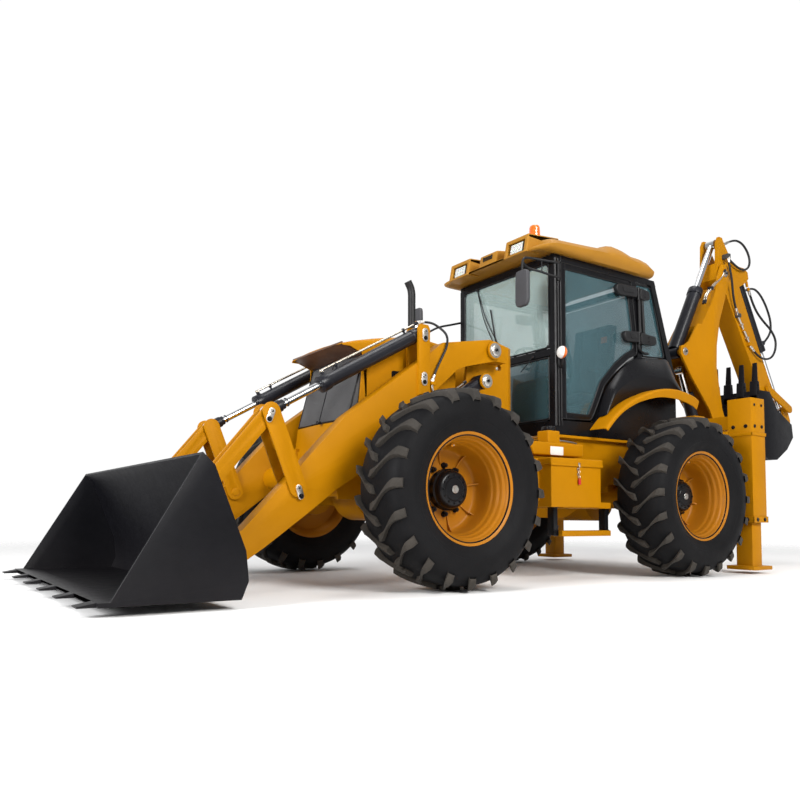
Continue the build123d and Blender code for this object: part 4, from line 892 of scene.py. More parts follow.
def cab():
    dress("cab_frame", BLACK, 0.006, 3, slot="black_paint")
    # panes, each with its rubber seal
    g = Kit("windshield", "chassis", GLASS_PAINTED_LIGHT)
    g.across(round_outline([(-470, 1700), (470, 1700), (470, 2342), (-470, 2342)], 40), -1342, -1335, 1)
    g.done(slot="glass", replaces=["cab_windows"])
    g = Kit("rear_window", "chassis", GLASS_PAINTED_SHADE)
    g.prism([F(-2779, -470, 1630), F(-2779, 470, 1630), F(-2530, 470, 2340), F(-2530, -470, 2340)], Vector((-0.006, 0, 0)), 0.001)
    for s in (-1, 1):
        g.across([(s * 20, 1160), (s * 470, 1160), (s * 470, 1630), (s * 20, 1630)], -1342, -1336, 1)
        g.slab([(-2372, 1750), (-2670, 1768), (-2500, 2345), (-2304, 2345), (-2370, 1900)], s * 500 - 3, s * 500 + 3, 1)
    g.done(slot="glass")
    r = Kit("window_seals", "chassis", HOSE)

    def seal(pts, rad=0.007):
        P = [Vector(p) for p in pts]
        r.tube(P + [P[0]], rad, 6)
    seal([F(-1333, y, z) for y, z in round_outline([(-468, 1702), (468, 1702), (468, 2340), (-468, 2340)], 50, 4)])
    for s in (-1, 1):
        seal([F(-1333, y, z) for y, z in round_outline([(s * 24, 1164), (s * 466, 1164), (s * 466, 1626), (s * 24, 1626)], 30, 4)])
        seal([F(x, s * 505, z) for x, z in round_outline([(-2372, 1752), (-2668, 1770), (-2500, 2343), (-2304, 2343), (-2370, 1900)], 40, 4)])
    r.block(-1336, -1330, -14, 14, 1100, 1640, 1)
    # double jamb strip ahead of the door
    for s in (-1, 1):
        r.tube([F(-1340, s * 523, 1110), F(-1340, s * 523, 2370)], 0.009, 8)
        r.tube([F(-1368, s * 523, 1110), F(-1368, s * 523, 2370)], 0.007, 8)
        r.tube([F(-1398, s * 522, 1150), F(-1398, s * 522, 2360)], 0.006, 8)
    r.done()
    # cross bar ahead of the wipers, the wipers and their motor
    w = Kit("wipers", "chassis", PLASTIC)
    w.bar(F(-1329, -300, 2330), F(-1318, -300, 2330), 0.014)
    for yy, tip in ((-300, (-90, 1800)), (-300, (-40, 1790))):
        w.tube([F(-1320, yy, 2330), F(-1316, (yy + tip[0]) / 2 - 20, 2060), F(-1322, tip[0], tip[1])], 0.004, 6)
    w.tube([F(-1326, -150, 2130), F(-1326, -60, 1700)], 0.006, 6)
    w.bar(F(-1329, 310, 1655), F(-1318, 310, 1655), 0.012)
    w.tube([F(-1320, 310, 1655), F(-1318, 250, 1600), F(-1320, 190, 1560)], 0.004, 6)
    w.done()
    # grab handle inside the windshield
    h = Kit("grab_bars", "chassis", HOSE)
    h.tube([F(-1350, 300, 1760), F(-1420, 300, 1800), F(-1440, 300, 1900), F(-1420, 270, 1980)], 0.011, 10)
    h.tube([F(-1400, 440, 1700), F(-1460, 440, 1730), F(-1480, 440, 1900), F(-1440, 440, 2100)], 0.011, 10)
    h.done()


cab()


def doors():
    for name, s in (("left_door", 1), ("right_door", -1)):
        k = Kit(name + "_frame", name, BLACK, smooth=30)
        y0, y1 = (486, 519) if s > 0 else (-519, -486)
        loop_frame(k, DOOR, DOOR_WIN, y0, y1, 4)
        yo = s * 521
        # pull handle and lock inside the lower front corner
        k.block(-1446, -1414, min(yo, s * 527), max(yo, s * 527), 1500, 1640, 4)
        k.done(slot="black_paint", replaces=[name])
        g = Kit(name + "_glass", name, GLASS_PAINTED_SHADE)
        g.slab([((x * 1.0), z) for x, z in [(p[0] + (4 if p[0] < -1500 else -4) * 0, p[1]) for p in DOOR_WIN]], s * 508, s * 513, 0.5)
        g.done(slot="glass")
        e = Kit(name + "_seal", name, HOSE)
        P = [F(x, s * 520, z) for x, z in round_outline(DOOR, 26, 4)]
        e.tube(P + [P[0]], 0.0045, 6)
        P = [F(x, s * 515, z) for x, z in round_outline(DOOR_WIN, 30, 4)]
        e.tube(P + [P[0]], 0.006, 6)
        e.done()
        # two hinge housings with their link, fixed to the post, the knuckle pin on the door's axis
        hk = Kit(name + "_hinges", name, PLASTIC, smooth=40)
        ho = Kit(("left" if s > 0 else "right") + "_hinge_housings", "chassis", PLASTIC, smooth=40)
        for zc, x0, x1, x2 in ((2252, -2012, -2262, -2424), (1886, -2100, -2280, -2500)):
            lo, hi = (521, 560) if s > 0 else (-560, -521)
            hk.slab(round_outline([(x0, zc + 34), (x1, zc + 46), (x1, zc - 40), (x0 - 20, zc - 52), (x0 + 6, zc - 8)], 26, 5), lo, hi, 10, 4)
            lo, hi = (520, 556) if s > 0 else (-556, -520)
            ho.slab(round_outline([(-2308, zc + 46), (x2, zc + 34), (x2 - 8, zc - 36), (-2308, zc - 50)], 24, 5), lo, hi, 10, 4)
            ho.bar(F(-2300, s * 535, zc - 52), F(-2300, s * 535, zc + 52), 0.014)
            for dz in (-18, 18):
                ho.bolt(F((x2 - 2308) / 2, s * 555, zc + dz), Y * s, 0.008, 0.006)
            hk.slab(round_outline([(x0 - 60, zc + 20), (x1 + 40, zc + 26), (x1 + 40, zc - 16), (x0 - 70, zc - 22)], 14), min(s * 558, s * 564), max(s * 558, s * 564), 3, 2)
        ho.bar(F(-2320, s * 533, 1930), F(-2312, s * 533, 2225), 0.012)
        ho.bar(F(-2372, s * 530, 1925), F(-2350, s * 530, 2230), 0.014)
        ho.tube([F(-2300, s * 533, 1850), F(-2310, s * 533, 1800), F(-2370, s * 528, 1775), F(-2440, s * 520, 1780)], 0.010, 8)
        hk.done()
        ho.done()
        # lamp on a short stalk in front of the door glass
        lb = Kit(name + "_marker_arm", "chassis", PLASTIC, smooth=40)
        lb.tube([F(-1388, s * 523, 1548), F(-1372, s * 548, 1556), F(-1352, s * 574, 1584), F(-1330, s * 590, 1618)], 0.011, 10)
        lb.block(-1396, -1366, min(s * 521, s * 528), max(s * 521, s * 528), 1530, 1570, 3)
        lb.done()
        ax = (X * 0.86 - Y * s * 0.42 + Z * 0.10).normalized()
        o = F(-1322, s * 600, 1640)
        lw = Kit(name + "_marker_white", "chassis", WHITE, smooth=50)
        lw.lathe([(0.0, 0.046), (0.010, 0.045), (0.022, 0.039), (0.032, 0.026), (0.036, 0.010), (0.037, 0)], o, ax, 32)
        lw.done()
        lo_ = Kit(name + "_marker_orange", "chassis", ORANGE, smooth=50)
        lo_.lathe([(-0.034, 0), (-0.033, 0.014), (-0.026, 0.032), (-0.014, 0.043), (-0.001, 0.047), (-0.0005, 0.030)], o, ax, 32, caps=False)
        lo_.done()


doors()


def black_panel():
    """The panel between the door's rear edge and the fender, swelling outwards to a crease."""
    top = [(-1796, 1206), (-1836, 1306), (-1916, 1452), (-2075, 1600), (-2210, 1692), (-2305, 1728), (-2440, 1738), (-2570, 1746), (-2690, 1752),
           (-2750, 1640), (-2800, 1560), (-2880, 1470)]
    mid = [(-1826, 1222), (-1886, 1320), (-1962, 1420), (-2096, 1502), (-2220, 1546), (-2330, 1566), (-2440, 1572), (-2540, 1570), (-2620, 1562),
           (-2690, 1530), (-2760, 1490), (-2860, 1446)]
    low = [(-1830, 1218), (-1900, 1268), (-1980, 1318), (-2110, 1378), (-2230, 1416), (-2330, 1446), (-2440, 1466), (-2540, 1474), (-2620, 1474),
           (-2690, 1466), (-2760, 1456), (-2868, 1420)]
    k = Kit("quarter_panel_skins", "chassis", BLACK, smooth=50)

    def row(pts, y):
        P = [Vector((x, y, z)) for x, z in pts]
        return smooth_line(P, 25)
    n = 60

    def resample(P):
        L = [0]
        for a, b in zip(P, P[1:]):
            L.append(L[-1] + (b - a).length)
        out = []
        j = 0
        for i in range(n):
            d = L[-1] * i / (n - 1)
            while j < len(L) - 2 and L[j + 1] < d:
                j += 1
            t = 0 if L[j + 1] == L[j] else (d - L[j]) / (L[j + 1] - L[j])
            out.append(P[j].lerp(P[j + 1], t))
        return out
    A, B, C = resample(row(top, 527)), resample(row(mid, 592)), resample(row(low, 572))
    rows = []
    for t in (0, 0.03, 0.25, 0.5, 0.75, 0.94, 1.0):
        r = []
        for a, b in zip(A, B):
            p = a.lerp(b, t)
            y = 523 + 4 * min(1, t / 0.03) if t <= 0.03 else 527 + (592 - 527) * sin(pi / 2 * t)
            r.append(F(p.x, y, p.z))
        rows.append(r)
    for t in (0.06, 0.3, 0.65, 1.0):
        rows.append([F(b.lerp(c, t).x, 592 - 22 * t, b.lerp(c, t).z) for b, c in zip(B, C)])
    rows.append([F(c.x, 526, c.z) for c in C])
    grid_piece(k, rows)
    k.mirror_y()
    k.done(slot="black_paint", replaces=["quarter_panels"])


black_panel()

FENDER = [(-1701, 1102, 12), (-1814, 1206, 20), (-1974, 1314, 34), (-2139, 1388, 44), (-2366, 1458, 66), (-2602, 1476, 84),
          (-2800, 1446, 90), (-2880, 1412, 90)]


def fenders():
    k = Kit("fender_skins", "chassis", YELLOW, smooth=50)
    line = smooth_line([Vector((x, h, z)) for x, z, h in FENDER], 18)
    rows = []
    for i, p in enumerate(line):
        x, h, z = p
        t = (line[min(i + 1, len(line) - 1)] - line[max(i - 1, 0)])
        n = Vector((-t.z, 0, t.x)).normalized()
        if n.z < 0:
            n = -n
        sec = [(526, -2), (600, 0), (650, 0), (668, -1.5), (678, -6), (682.5, -14), (683.5, -22), (683.5, -max(h, 26)), (679, -max(h, 26) - 1.5), (675, -max(h, 26) + 2),
               (674, -24), (668, -12), (655, -7.5), (600, -6), (526, -6)]
        rows.append([F(x + n.x * d, y, z + n.z * d) for y, d in sec])
    bm = bmesh.new()
    vs = [[bm.verts.new(q) for q in r] for r in rows]
    for a, b in zip(vs, vs[1:]):
        m = len(a)
        for j in range(m):
            bm.faces.new((a[j], a[(j + 1) % m], b[(j + 1) % m], b[j]))
    bm.faces.new(vs[0]); bm.faces.new(vs[-1])
    bmesh.ops.recalc_face_normals(bm, faces=bm.faces)
    k.take(bm)
    k.mirror_y()
    k.done(slot="yellow_paint", replaces=["rear_fenders"])


fenders()


def roof():
    k = Kit("roof_shell", "chassis", ROOF, smooth=38)
    # stations front to rear: x, half width, bottom, height of the lip's widest line, top at the edge of the crown, top at the middle
    st = [(-1142, 440, 2414, 2422, 2426, 2427), (-1152, 510, 2406, 2424, 2432, 2433), (-1172, 556, 2403, 2428, 2440, 2442),
          (-1200, 584, 2402, 2434, 2448, 2450), (-1232, 595, 2402, 2440, 2458, 2460), (-1256, 597, 2402, 2444, 2496, 2498),
          (-1282, 598, 2402, 2447, 2514, 2516), (-1320, 599, 2402, 2452, 2522, 2530), (-1500, 600, 2402, 2462, 2530, 2546),
          (-1700, 600, 2402, 2474, 2542, 2556), (-1850, 600, 2404, 2484, 2556, 2568), (-1930, 600, 2404, 2490, 2590, 2574),
          (-2000, 600, 2404, 2492, 2600, 2576), (-2080, 600, 2404, 2490, 2594, 2574), (-2180, 598, 2404, 2482, 2562, 2566),
          (-2300, 594, 2404, 2476, 2566, 2558), (-2400, 584, 2408, 2468, 2556, 2548), (-2480, 562, 2416, 2460, 2528, 2522),
          (-2530, 520, 2430, 2456, 2494, 2492), (-2554, 455, 2446, 2456, 2468, 2470)]

    def interp(x, j):
        for a, b in zip(st, st[1:]):
            if b[0] <= x <= a[0]:
                t = (x - a[0]) / (b[0] - a[0])
                return a[j] + (b[j] - a[j]) * t
        return st[-1][j]
    xs = sorted({round(p.x, 1) for p in smooth_line([Vector((a[0], 0, 0)) for a in st], 26)} | {float(a[0]) for a in st}, reverse=True)
    rows = []
    for x in xs:
        w, zb, zl, ze, zt = (interp(x, j) for j in (1, 2, 3, 4, 5))
        half = [(0.0, zt), (0.30, zt * 0.9 + ze * 0.1), (0.50, zt * 0.6 + ze * 0.4), (0.64, ze + 1), (0.76, ze - 1), (0.86, ze - 10), (0.935, ze - (ze - zl) * 0.42),
                (0.98, ze - (ze - zl) * 0.78), (1.0, zl), (0.995, zl - (zl - zb) * 0.35), (0.975, zl - (zl - zb) * 0.7), (0.945, zb + 3),
                (0.91, zb), (0.87, zb + 2), (0.84, zb + 12), (0.6, zb + 16), (0, zb + 16)]
        pts = [(f * w, z) for f, z in half]
        rows.append([F(x, -y, z) for y, z in reversed(pts)] + [F(x, y, z) for y, z in pts[1:-1]])
    bm = bmesh.new()
    vs = [[bm.verts.new(q) for q in r] for r in rows]
    for a, b in zip(vs, vs[1:]):
        m = len(a)
        for j in range(m):
            bm.faces.new((a[j], a[(j + 1) % m], b[(j + 1) % m], b[j]))
    bm.faces.new(vs[0]); bm.faces.new(vs[-1])
    bmesh.ops.recalc_face_normals(bm, faces=bm.faces)
    k.take(bm)
    # lamp housings at the front corners: a hood open to the front with a deep recess
    for s in (-1, 1):
        yi, yo = 205, 440
        for a, b in ((yi, yi + 30), (yo - 34, yo)):          # cheeks
            k.slab([(-1128, 2410), (-1156, 2546), (-1480, 2572), (-1480, 2460), (-1240, 2410)], min(s * a, s * b), max(s * a, s * b), 8, 3)
        k.slab([(-1150, 2516), (-1157, 2548), (-1480, 2573), (-1480, 2500)], min(s * yi, s * yo), max(s * yi, s * yo), 8, 3)      # brow
        k.slab([(-1124, 2406), (-1128, 2420), (-1250, 2432), (-1250, 2406)], min(s * yi, s * yo), max(s * yi, s * yo), 6, 3)      # sill
        k.slab([(-1236, 2430), (-1240, 2550), (-1440, 2560), (-1440, 2430)], min(s * yi, s * yo) + 6, max(s * yi, s * yo) - 6, 3)  # back
    k.slab([(-1144, 2412), (-1168, 2524), (-1380, 2558), (-1380, 2430)], -98, 98, 14, 3)        # vent hump
    k.done(slot="roof_plastic", replaces=["cab_roof"])
    d = Kit("lamp_buckets", "chassis", PLASTIC)
    for s in (-1, 1):
        y0, y1 = min(s * 238, s * 404), max(s * 238, s * 404)
        d.slab([(-1166, 2424), (-1182, 2512), (-1230, 2512), (-1230, 2420)], y0, y1, 3)
        d.bar(F(-1160, s * 322, 2414), F(-1160, s * 322, 2432), 0.010)
        d.slab([(-1146, 2426), (-1162, 2508), (-1188, 2508), (-1182, 2424)], min(s * 254, s * 390), max(s * 254, s * 390), 5, 3)
    for i in range(4):
        d.block(-1164 - i * 2, -1150 - i * 2, -44, 44, 2470 + i * 9, 2474 + i * 9, 0.5)
    d.block(-1166, -1152, -50, -44, 2466, 2504, 1)
    d.block(-1166, -1152, 44, 50, 2466, 2504, 1)
    d.done()
    g = Kit("work_lamps", "chassis", CLEAR)
    for s in (-1, 1):
        g.slab([(-1141, 2431), (-1156, 2503), (-1163, 2503), (-1148, 2429)], min(s * 262, s * 382), max(s * 262, s * 382), 2, 2)
    g.done()
    c = Kit("work_lamp_diodes", "chassis", CHROME)
    for s in (-1, 1):
        for i in range(4):
            for j in range(2):
                p = F(-1145.5 - j * 6.4, s * (278 + i * 29), 2450 + j * 32)
                c.lathe([(0, 0.0115), (0.002, 0.0115), (0.0, 0.008), (-0.001, 0.0)], p, Vector((0.98, 0, 0.19)), 20)
    c.done(slot="chrome")
    b = Kit("beacon_base", "chassis", PLASTIC)
    b.lathe([(0, 0.056), (0.010, 0.056), (0.016, 0.050), (0.024, 0.050), (0.030, 0.046)], F(-1367, 300, 2566), Z, 36)
    b.done(replaces=["beacon"])
    b = Kit("beacon_lens", "chassis", ORANGE, smooth=60)
    prof = [(0, 0.044)]
    for i in range(7):
        z = 0.006 + i * 0.012
        prof += [(z, 0.0445 - i * 0.0006), (z + 0.006, 0.0430 - i * 0.0006)]
    b.lathe(prof + [(0.094, 0.036), (0.100, 0.028), (0.1035, 0.014), (0.1045, 0)], F(-1367, 300, 2594), Z, 40)
    b.done(slot="orange_lens")


roof()


def mirrors():
    k = Kit("mirror_housings", "chassis", GREY, smooth=40)
    g = Kit("mirror_glass", "chassis", CHROME)
    for s, xm, ym, zm, f in ((1, -1055, 472, 2101.5, 1.03), (-1, -920, 600, 2055, 1.0)):
        o = [(541, 1950), (544, 2150), (552, 2184), (640, 2186), (658, 2165), (659, 1960), (640, 1926), (560, 1924)]
        k.across(round_outline([(s * (ym + (y - 600) * f), zm + (z - 2055) * f) for y, z in o], 26, 4), xm - 17, xm + 17, 9, 4)
        o = [(550, 1956), (552, 2160), (642, 2172), (650, 2155), (650, 1966), (634, 1936), (566, 1934)]
        g.across(round_outline([(s * (ym + (y - 600) * f), zm + (z - 2055) * f) for y, z in o], 20, 4), xm - 18.5, xm - 16.5, 0.4)
    k.done(slot="black_paint", replaces=["mirrors"])
    g.done(slot="chrome")
    a = Kit("mirror_arms", "chassis", PLASTIC, smooth=40)
    a.tube([F(-1372, 532, 2332), F(-1340, 532, 2333), F(-1230, 498, 2340), F(-1130, 467, 2346), F(-1084, 465, 2334), F(-1060, 469, 2300), F(-1055, 471, 2226)], 0.009, 12)
    a.tube([F(-1372, 532, 2222), F(-1340, 532, 2224), F(-1230, 498, 2248), F(-1130, 465, 2269), F(-1086, 466, 2284), F(-1061, 469, 2300)], 0.009, 12)
    a.bar(F(-1230, 498, 2248), F(-1228, 498, 2340), 0.004)
    a.tube([F(-1372, -532, 2116), F(-1340, -534, 2109), F(-1250, -549, 2084), F(-1120, -570, 2046), F(-1010, -588, 1984), F(-950, -597, 1938), F(-922, -600, 1945)], 0.009, 12)
    for s, z0, z1 in ((1, 2200, 2350), (-1, 2080, 2150)):
        a.block(-1390, -1356, min(s * 521, s * 540), max(s * 521, s * 540), z0, z1, 5, 3)
        for z in ((2215, 2275, 2335) if s > 0 else (2095, 2135)):
            a.bolt(F(-1380, s * 540, z), Y * s, 0.007, 0.001)
    a.done(slot="black_paint")


mirrors()


# ------------------------------------------------------------------ side tank, toolbox and step
def boxes():
    body = FOLLOW["side_boxes"]
    k = Kit("side_box_shells", body, YELLOW, smooth=42)
    k.slab([(-914, 963), (-961, 870), (-1466, 870), (-1466, 963)], 531, 661, 12, 4)
    k.block(-1235, -1115, 541, 651, 955, 1050, 14, 4)
    k.slab([(-892, 838), (-899, 790), (-953, 756), (-963, 682), (-927, 641), (-939, 542), (-1109, 542), (-1109, 838)], 532, 699, 7, 3)
    k.block(-1473, -968, 532, 806, 503, 800, 5, 3)
    k.block(-1485, -956, 530, 819, 793, 841, 15, 5)
    k.block(-1484, -957, 798, 818, 786, 806, 2)
    k.block(-1599, -1101, 532, 789, 497, 540, 3)
    k.block(-1589, -1084, 692, 795, 302, 341, 3)
    k.done(slot="yellow_paint", replaces=["side_boxes"])
    k = Kit("side_box_far_shells", body, YELLOW, smooth=42)
    k.slab([(-914, 963), (-961, 870), (-1466, 870), (-1466, 963)], -661, -531, 12, 4)
    k.block(-1235, -1115, -651, -541, 955, 1050, 14, 4)
    k.slab([(-892, 838), (-899, 790), (-953, 756), (-963, 682), (-927, 641), (-939, 542), (-1109, 542), (-1109, 838)], -699, -532, 7, 3)
    k.block(-1473, -968, -806, -532, 503, 800, 5, 3)
    k.block(-1485, -956, -819, -530, 793, 841, 15, 5)
    k.block(-1599, -1101, -789, -532, 497, 540, 3)
    k.block(-1589, -1084, -795, -692, 302, 341, 3)
    k.done(slot="yellow_paint")
    p = Kit("step_posts", body, BLACK, smooth=40)
    for s in (-1, 1):
        for x0, x1, zt in ((-1081, -1041, 540), (-1611, -1573, 499)):
            p.block(x0, x1, min(s * 702, s * 757), max(s * 702, s * 757), 308, zt, 3)
            xm = (x0 + x1) / 2
            p.block(x0 - 3, x1 + 3, min(s * 756, s * 762), max(s * 756, s * 762), 304, 346, 2)
            p.block(x0 - 3, x1 + 3, min(s * 756, s * 762), max(s * 756, s * 762), zt - 42, zt, 2)
            for z in (318, 332, zt - 14, zt - 28):
                for dx in (-10, 10):
                    p.bolt(F(xm + dx, s * 761, z), Y * s, 0.005, 0.005, washer=False)
        # filler cap with grips, on its black collar
        o = F(-1175, s * 596, 1050)
        p.lathe([(0, 0.050), (0.008, 0.053), (0.012, 0.050), (0.026, 0.048), (0.033, 0.042), (0.035, 0.030), (0.035, 0)], o, Z, 40)
        for i in range(10):
            a = 2 * pi * i / 10
            q = o + Vector((cos(a), sin(a), 0)) * 0.045 + Z * 0.012
            p.bar(q, q + Z * 0.018, 0.007, 10, 0.002)
    p.done(slot="black_paint")
    t = Kit("latch_and_pipes", body, STEEL, smooth=50)
    for s in (-1, 1):
        y = s * 824
        t.block(-1242, -1222, min(s * 818, s * 822), max(s * 818, s * 822), 792, 812, 2)
        for i, z in enumerate((786, 768, 750, 732, 714)):
            t.ring(F(-1232, y - s * 6 * (i % 2) - s * 6, z), (Y if i % 2 else X), 0.0085, 0.0026, 16, 6)
        # rail and return pipe along the frame above the tank
        t.tube([F(-905, s * 536, 1010), F(-1040, s * 537, 1006), F(-1300, s * 537, 998), F(-1470, s * 536, 992), F(-1540, s * 534, 984)], 0.007, 10)
        t.bar(F(-905, s * 548, 992), F(-1110, s * 548, 985), 0.006)
    t.done(slot="chrome")
    r = Kit("padlocks", body, RED, smooth=40)
    for s in (-1, 1):
        r.block(-1249, -1227, min(s * 809, s * 822), max(s * 809, s * 822), 660, 694, 4, 3)
        r.ring(F(-1238, s * 816, 698), Y, 0.009, 0.0028, 18, 6)
    r.done()
    w = Kit("tank_plate", body, WHITE)
    w.slab(round_outline([(-1121, 874), (-1252, 874), (-1252, 934), (-1121, 934)], 6), 661, 663, 0.4)
    w.done()


boxes()


# ------------------------------------------------------------------ seat, console, wheel
def cushion(name, body, x0, x1, y0, y1, z0, z1, lean=0.0, cap=0.010):
    """A padded block: remeshed, swollen by cloth pressure, then held within reach of where it began."""
    bm = bmesh.new()
    bmesh.ops.create_cube(bm, size=1)
    for v in bm.verts:
        u, w, h = v.co.x + 0.5, v.co.y + 0.5, v.co.z + 0.5
        v.co = F(x0 + (x1 - x0) * u + lean * h, y0 + (y1 - y0) * w, z0 + (z1 - z0) * h)
    bmesh.ops.bevel(bm, geom=bm.edges[:], offset=0.026, segments=3, profile=0.5, affect="EDGES", clamp_overlap=True)
    me = bpy.data.meshes.new(name)
    bm.to_mesh(me); bm.free()
    ob = bpy.data.objects.new(name, me)
    bpy.context.scene.collection.objects.link(ob)
    bpy.context.view_layer.objects.active = ob
    for o in bpy.context.selected_objects:
        o.select_set(False)
    ob.select_set(True)
    rm = ob.modifiers.new("remesh", "REMESH")
    rm.mode = "VOXEL"
    rm.voxel_size = 0.0065
    bpy.ops.object.modifier_apply(modifier="remesh")
    start = [v.co.copy() for v in ob.data.vertices]
    cl = ob.modifiers.new("cloth", "CLOTH")
    cl.settings.use_pressure = True
    cl.settings.uniform_pressure_force = 4.0
    cl.settings.effector_weights.gravity = 0.0
    cl.settings.quality = 5
    cl.point_cache.frame_start, cl.point_cache.frame_end = 1, 20
    sc = bpy.context.scene
    for f in range(1, 21):
        sc.frame_set(f)
    bpy.context.view_layer.objects.active = ob
    bpy.ops.object.modifier_apply(modifier="cloth")
    for v, c in zip(ob.data.vertices, start):
        d = v.co - c
        if d.length > cap:
            v.co = c + d * (cap / d.length)
    sc.frame_set(1)
    # the sewn channels: the surface dips along them
    xm, wch = [], 0.012
    for v in ob.data.vertices:
        y = v.co.y
        for yc in (-0.085, 0.085):
            dd = abs(y - yc)
            if dd < wch * 2:
                k = 0.5 * (1 + cos(pi * dd / (wch * 2)))
                v.co += (Vector((-1, 0, 0.15)) if lean else Vector((0, 0, -1))) * 0.007 * k * (1 if (v.normal.x > 0.3 if lean else v.normal.z > 0.3) else 0)
    sb = ob.modifiers.new("sub", "SUBSURF")
    sb.levels = 1
    bpy.ops.object.modifier_apply(modifier="sub")
    for p in ob.data.polygons:
        p.use_smooth = True
    ob.data.materials.clear()
    ob.data.materials.append(FABRIC)
    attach(ob, body)
    return ob


def seat():
    body = FOLLOW["operator_seat"]
    a = cushion("seat_cushion", body, -2405, -1957, -222, 222, 1368, 1456)
    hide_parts("operator_seat")
    cushion("seat_back_cushion", body, -2376, -2302, -204, 204, 1486, 2104, lean=-86)
    k = Kit("seat_base", body, INTERIOR, smooth=40)
    k.block(-2348, -2002, -178, 178, 1102, 1180, 10, 3)
    for i in range(5):
        k.block(-2335 + i, -2015 - i, -165 + i, 165 - i, 1185 + i * 26, 1203 + i * 26, 8, 3)
    k.block(-2345, -2005, -176, 176, 1312, 1350, 8, 3)
    k.slab([(-2392, 1474), (-2372, 1474), (-2462, 2090), (-2478, 2090)], -196, 196, 10, 3)
    k.bar(F(-2170, -232, 1360), F(-2170, 232, 1360), 0.010)
    for s in (-1, 1):
        k.block(-2360, -2300, min(s * 224, s * 238), max(s * 224, s * 238), 1400, 1640, 6, 3)
        k.block(-2330, -2060, min(s * 205, s * 238), max(s * 205, s * 238), 1640, 1672, 10, 4)
    k.done(slot="black_paint")
    t = Kit("seat_tag", body, ORANGE)
    t.slab([(-2352, 1930), (-2356, 1985), (-2362, 1985), (-2358, 1930)], 120, 180, 1)
    t.done()
    body = FOLLOW["steering_console"]
    k = Kit("console_shell", body, INTERIOR, smooth=40)
    k.slab([(-1484, 1102), (-1638, 1102), (-1618, 1556), (-1494, 1594)], -176, 176, 16, 4)
    for s in (-1, 1):
        k.bar(F(-1660, s * 90, 1560), F(-1700, s * 150, 1600), 0.006)
    k.done(slot="black_paint", replaces=["steering_console"])
    w = Kit("steering_wheel", body, PLASTIC, smooth=50)
    n = Vector((-0.447, 0, 0.894)).normalized()
    c = F(-1690, 0, 1724)
    w.ring(c, n, 0.177, 0.012, 56, 12)
    w.bar(F(-1600, 0, 1544), c - n * 0.004, 0.018, 20)
    w.lathe([(-0.016, 0.030), (-0.012, 0.036), (0.008, 0.034), (0.014, 0.024), (0.015, 0)], c, n, 32)
    u = n.cross(Y).normalized()
    for a in (0.5, 2.64, 4.71):
        d = Y * cos(a) + u * sin(a)
        w.tube([c + d * 0.025, c + d * 0.09 - n * 0.008, c + d * 0.176], 0.008, 8)
    kn = c + (Y * 0.9 + u * 0.43).normalized() * 0.177
    w.bar(kn, kn + n * 0.022, 0.013, 16)
    w.done()


seat()


# ------------------------------------------------------------------ pins, retainers, fittings, steel pipes
def oval(kit, p0, p1, y0, y1, r):
    """A plate with round ends between two points of the side view."""
    a, b = Vector(p0), Vector(p1)
    d = (b - a).normalized() if (b - a).length > 1e-6 else Vector((0, 1))
    n = Vector((-d.y, d.x))
    pts = []
    for c, sg in ((b, 1), (a, -1)):
        for i in range(9):
            t = -pi / 2 + pi * i / 8
            q = c + (d * cos(t) + n * sin(t)) * r * sg
            pts.append((q.x, q.y))
    kit.slab(pts, min(y0, y1), max(y0, y1), 1.2)


def pin_head(kit, dark, x, z, y, s, r=0.036):
    """A pin's turned end with its washer, out from the face at y."""
    o = F(x, s * y, z)
    kit.lathe([(0, r * 1.32), (0.004, r * 1.32), (0.005, r * 1.02), (0.013, r), (0.016, r * 0.9), (0.016, r * 0.42), (0.011, r * 0.38), (0.011, 0)], o, Y * s, 40)
    dark.lathe([(0.011, r * 0.30), (0.017, r * 0.28), (0.019, r * 0.2), (0.019, 0)], o, Y * s, 6)


def along_tilt(t, h, y):
    """t mm along the tilt cylinder from its base pin, h mm above its axis."""
    return F(-115 + 0.8748 * t + 0.4844 * h, y, 1643 - 0.4844 * t + 0.8748 * h)


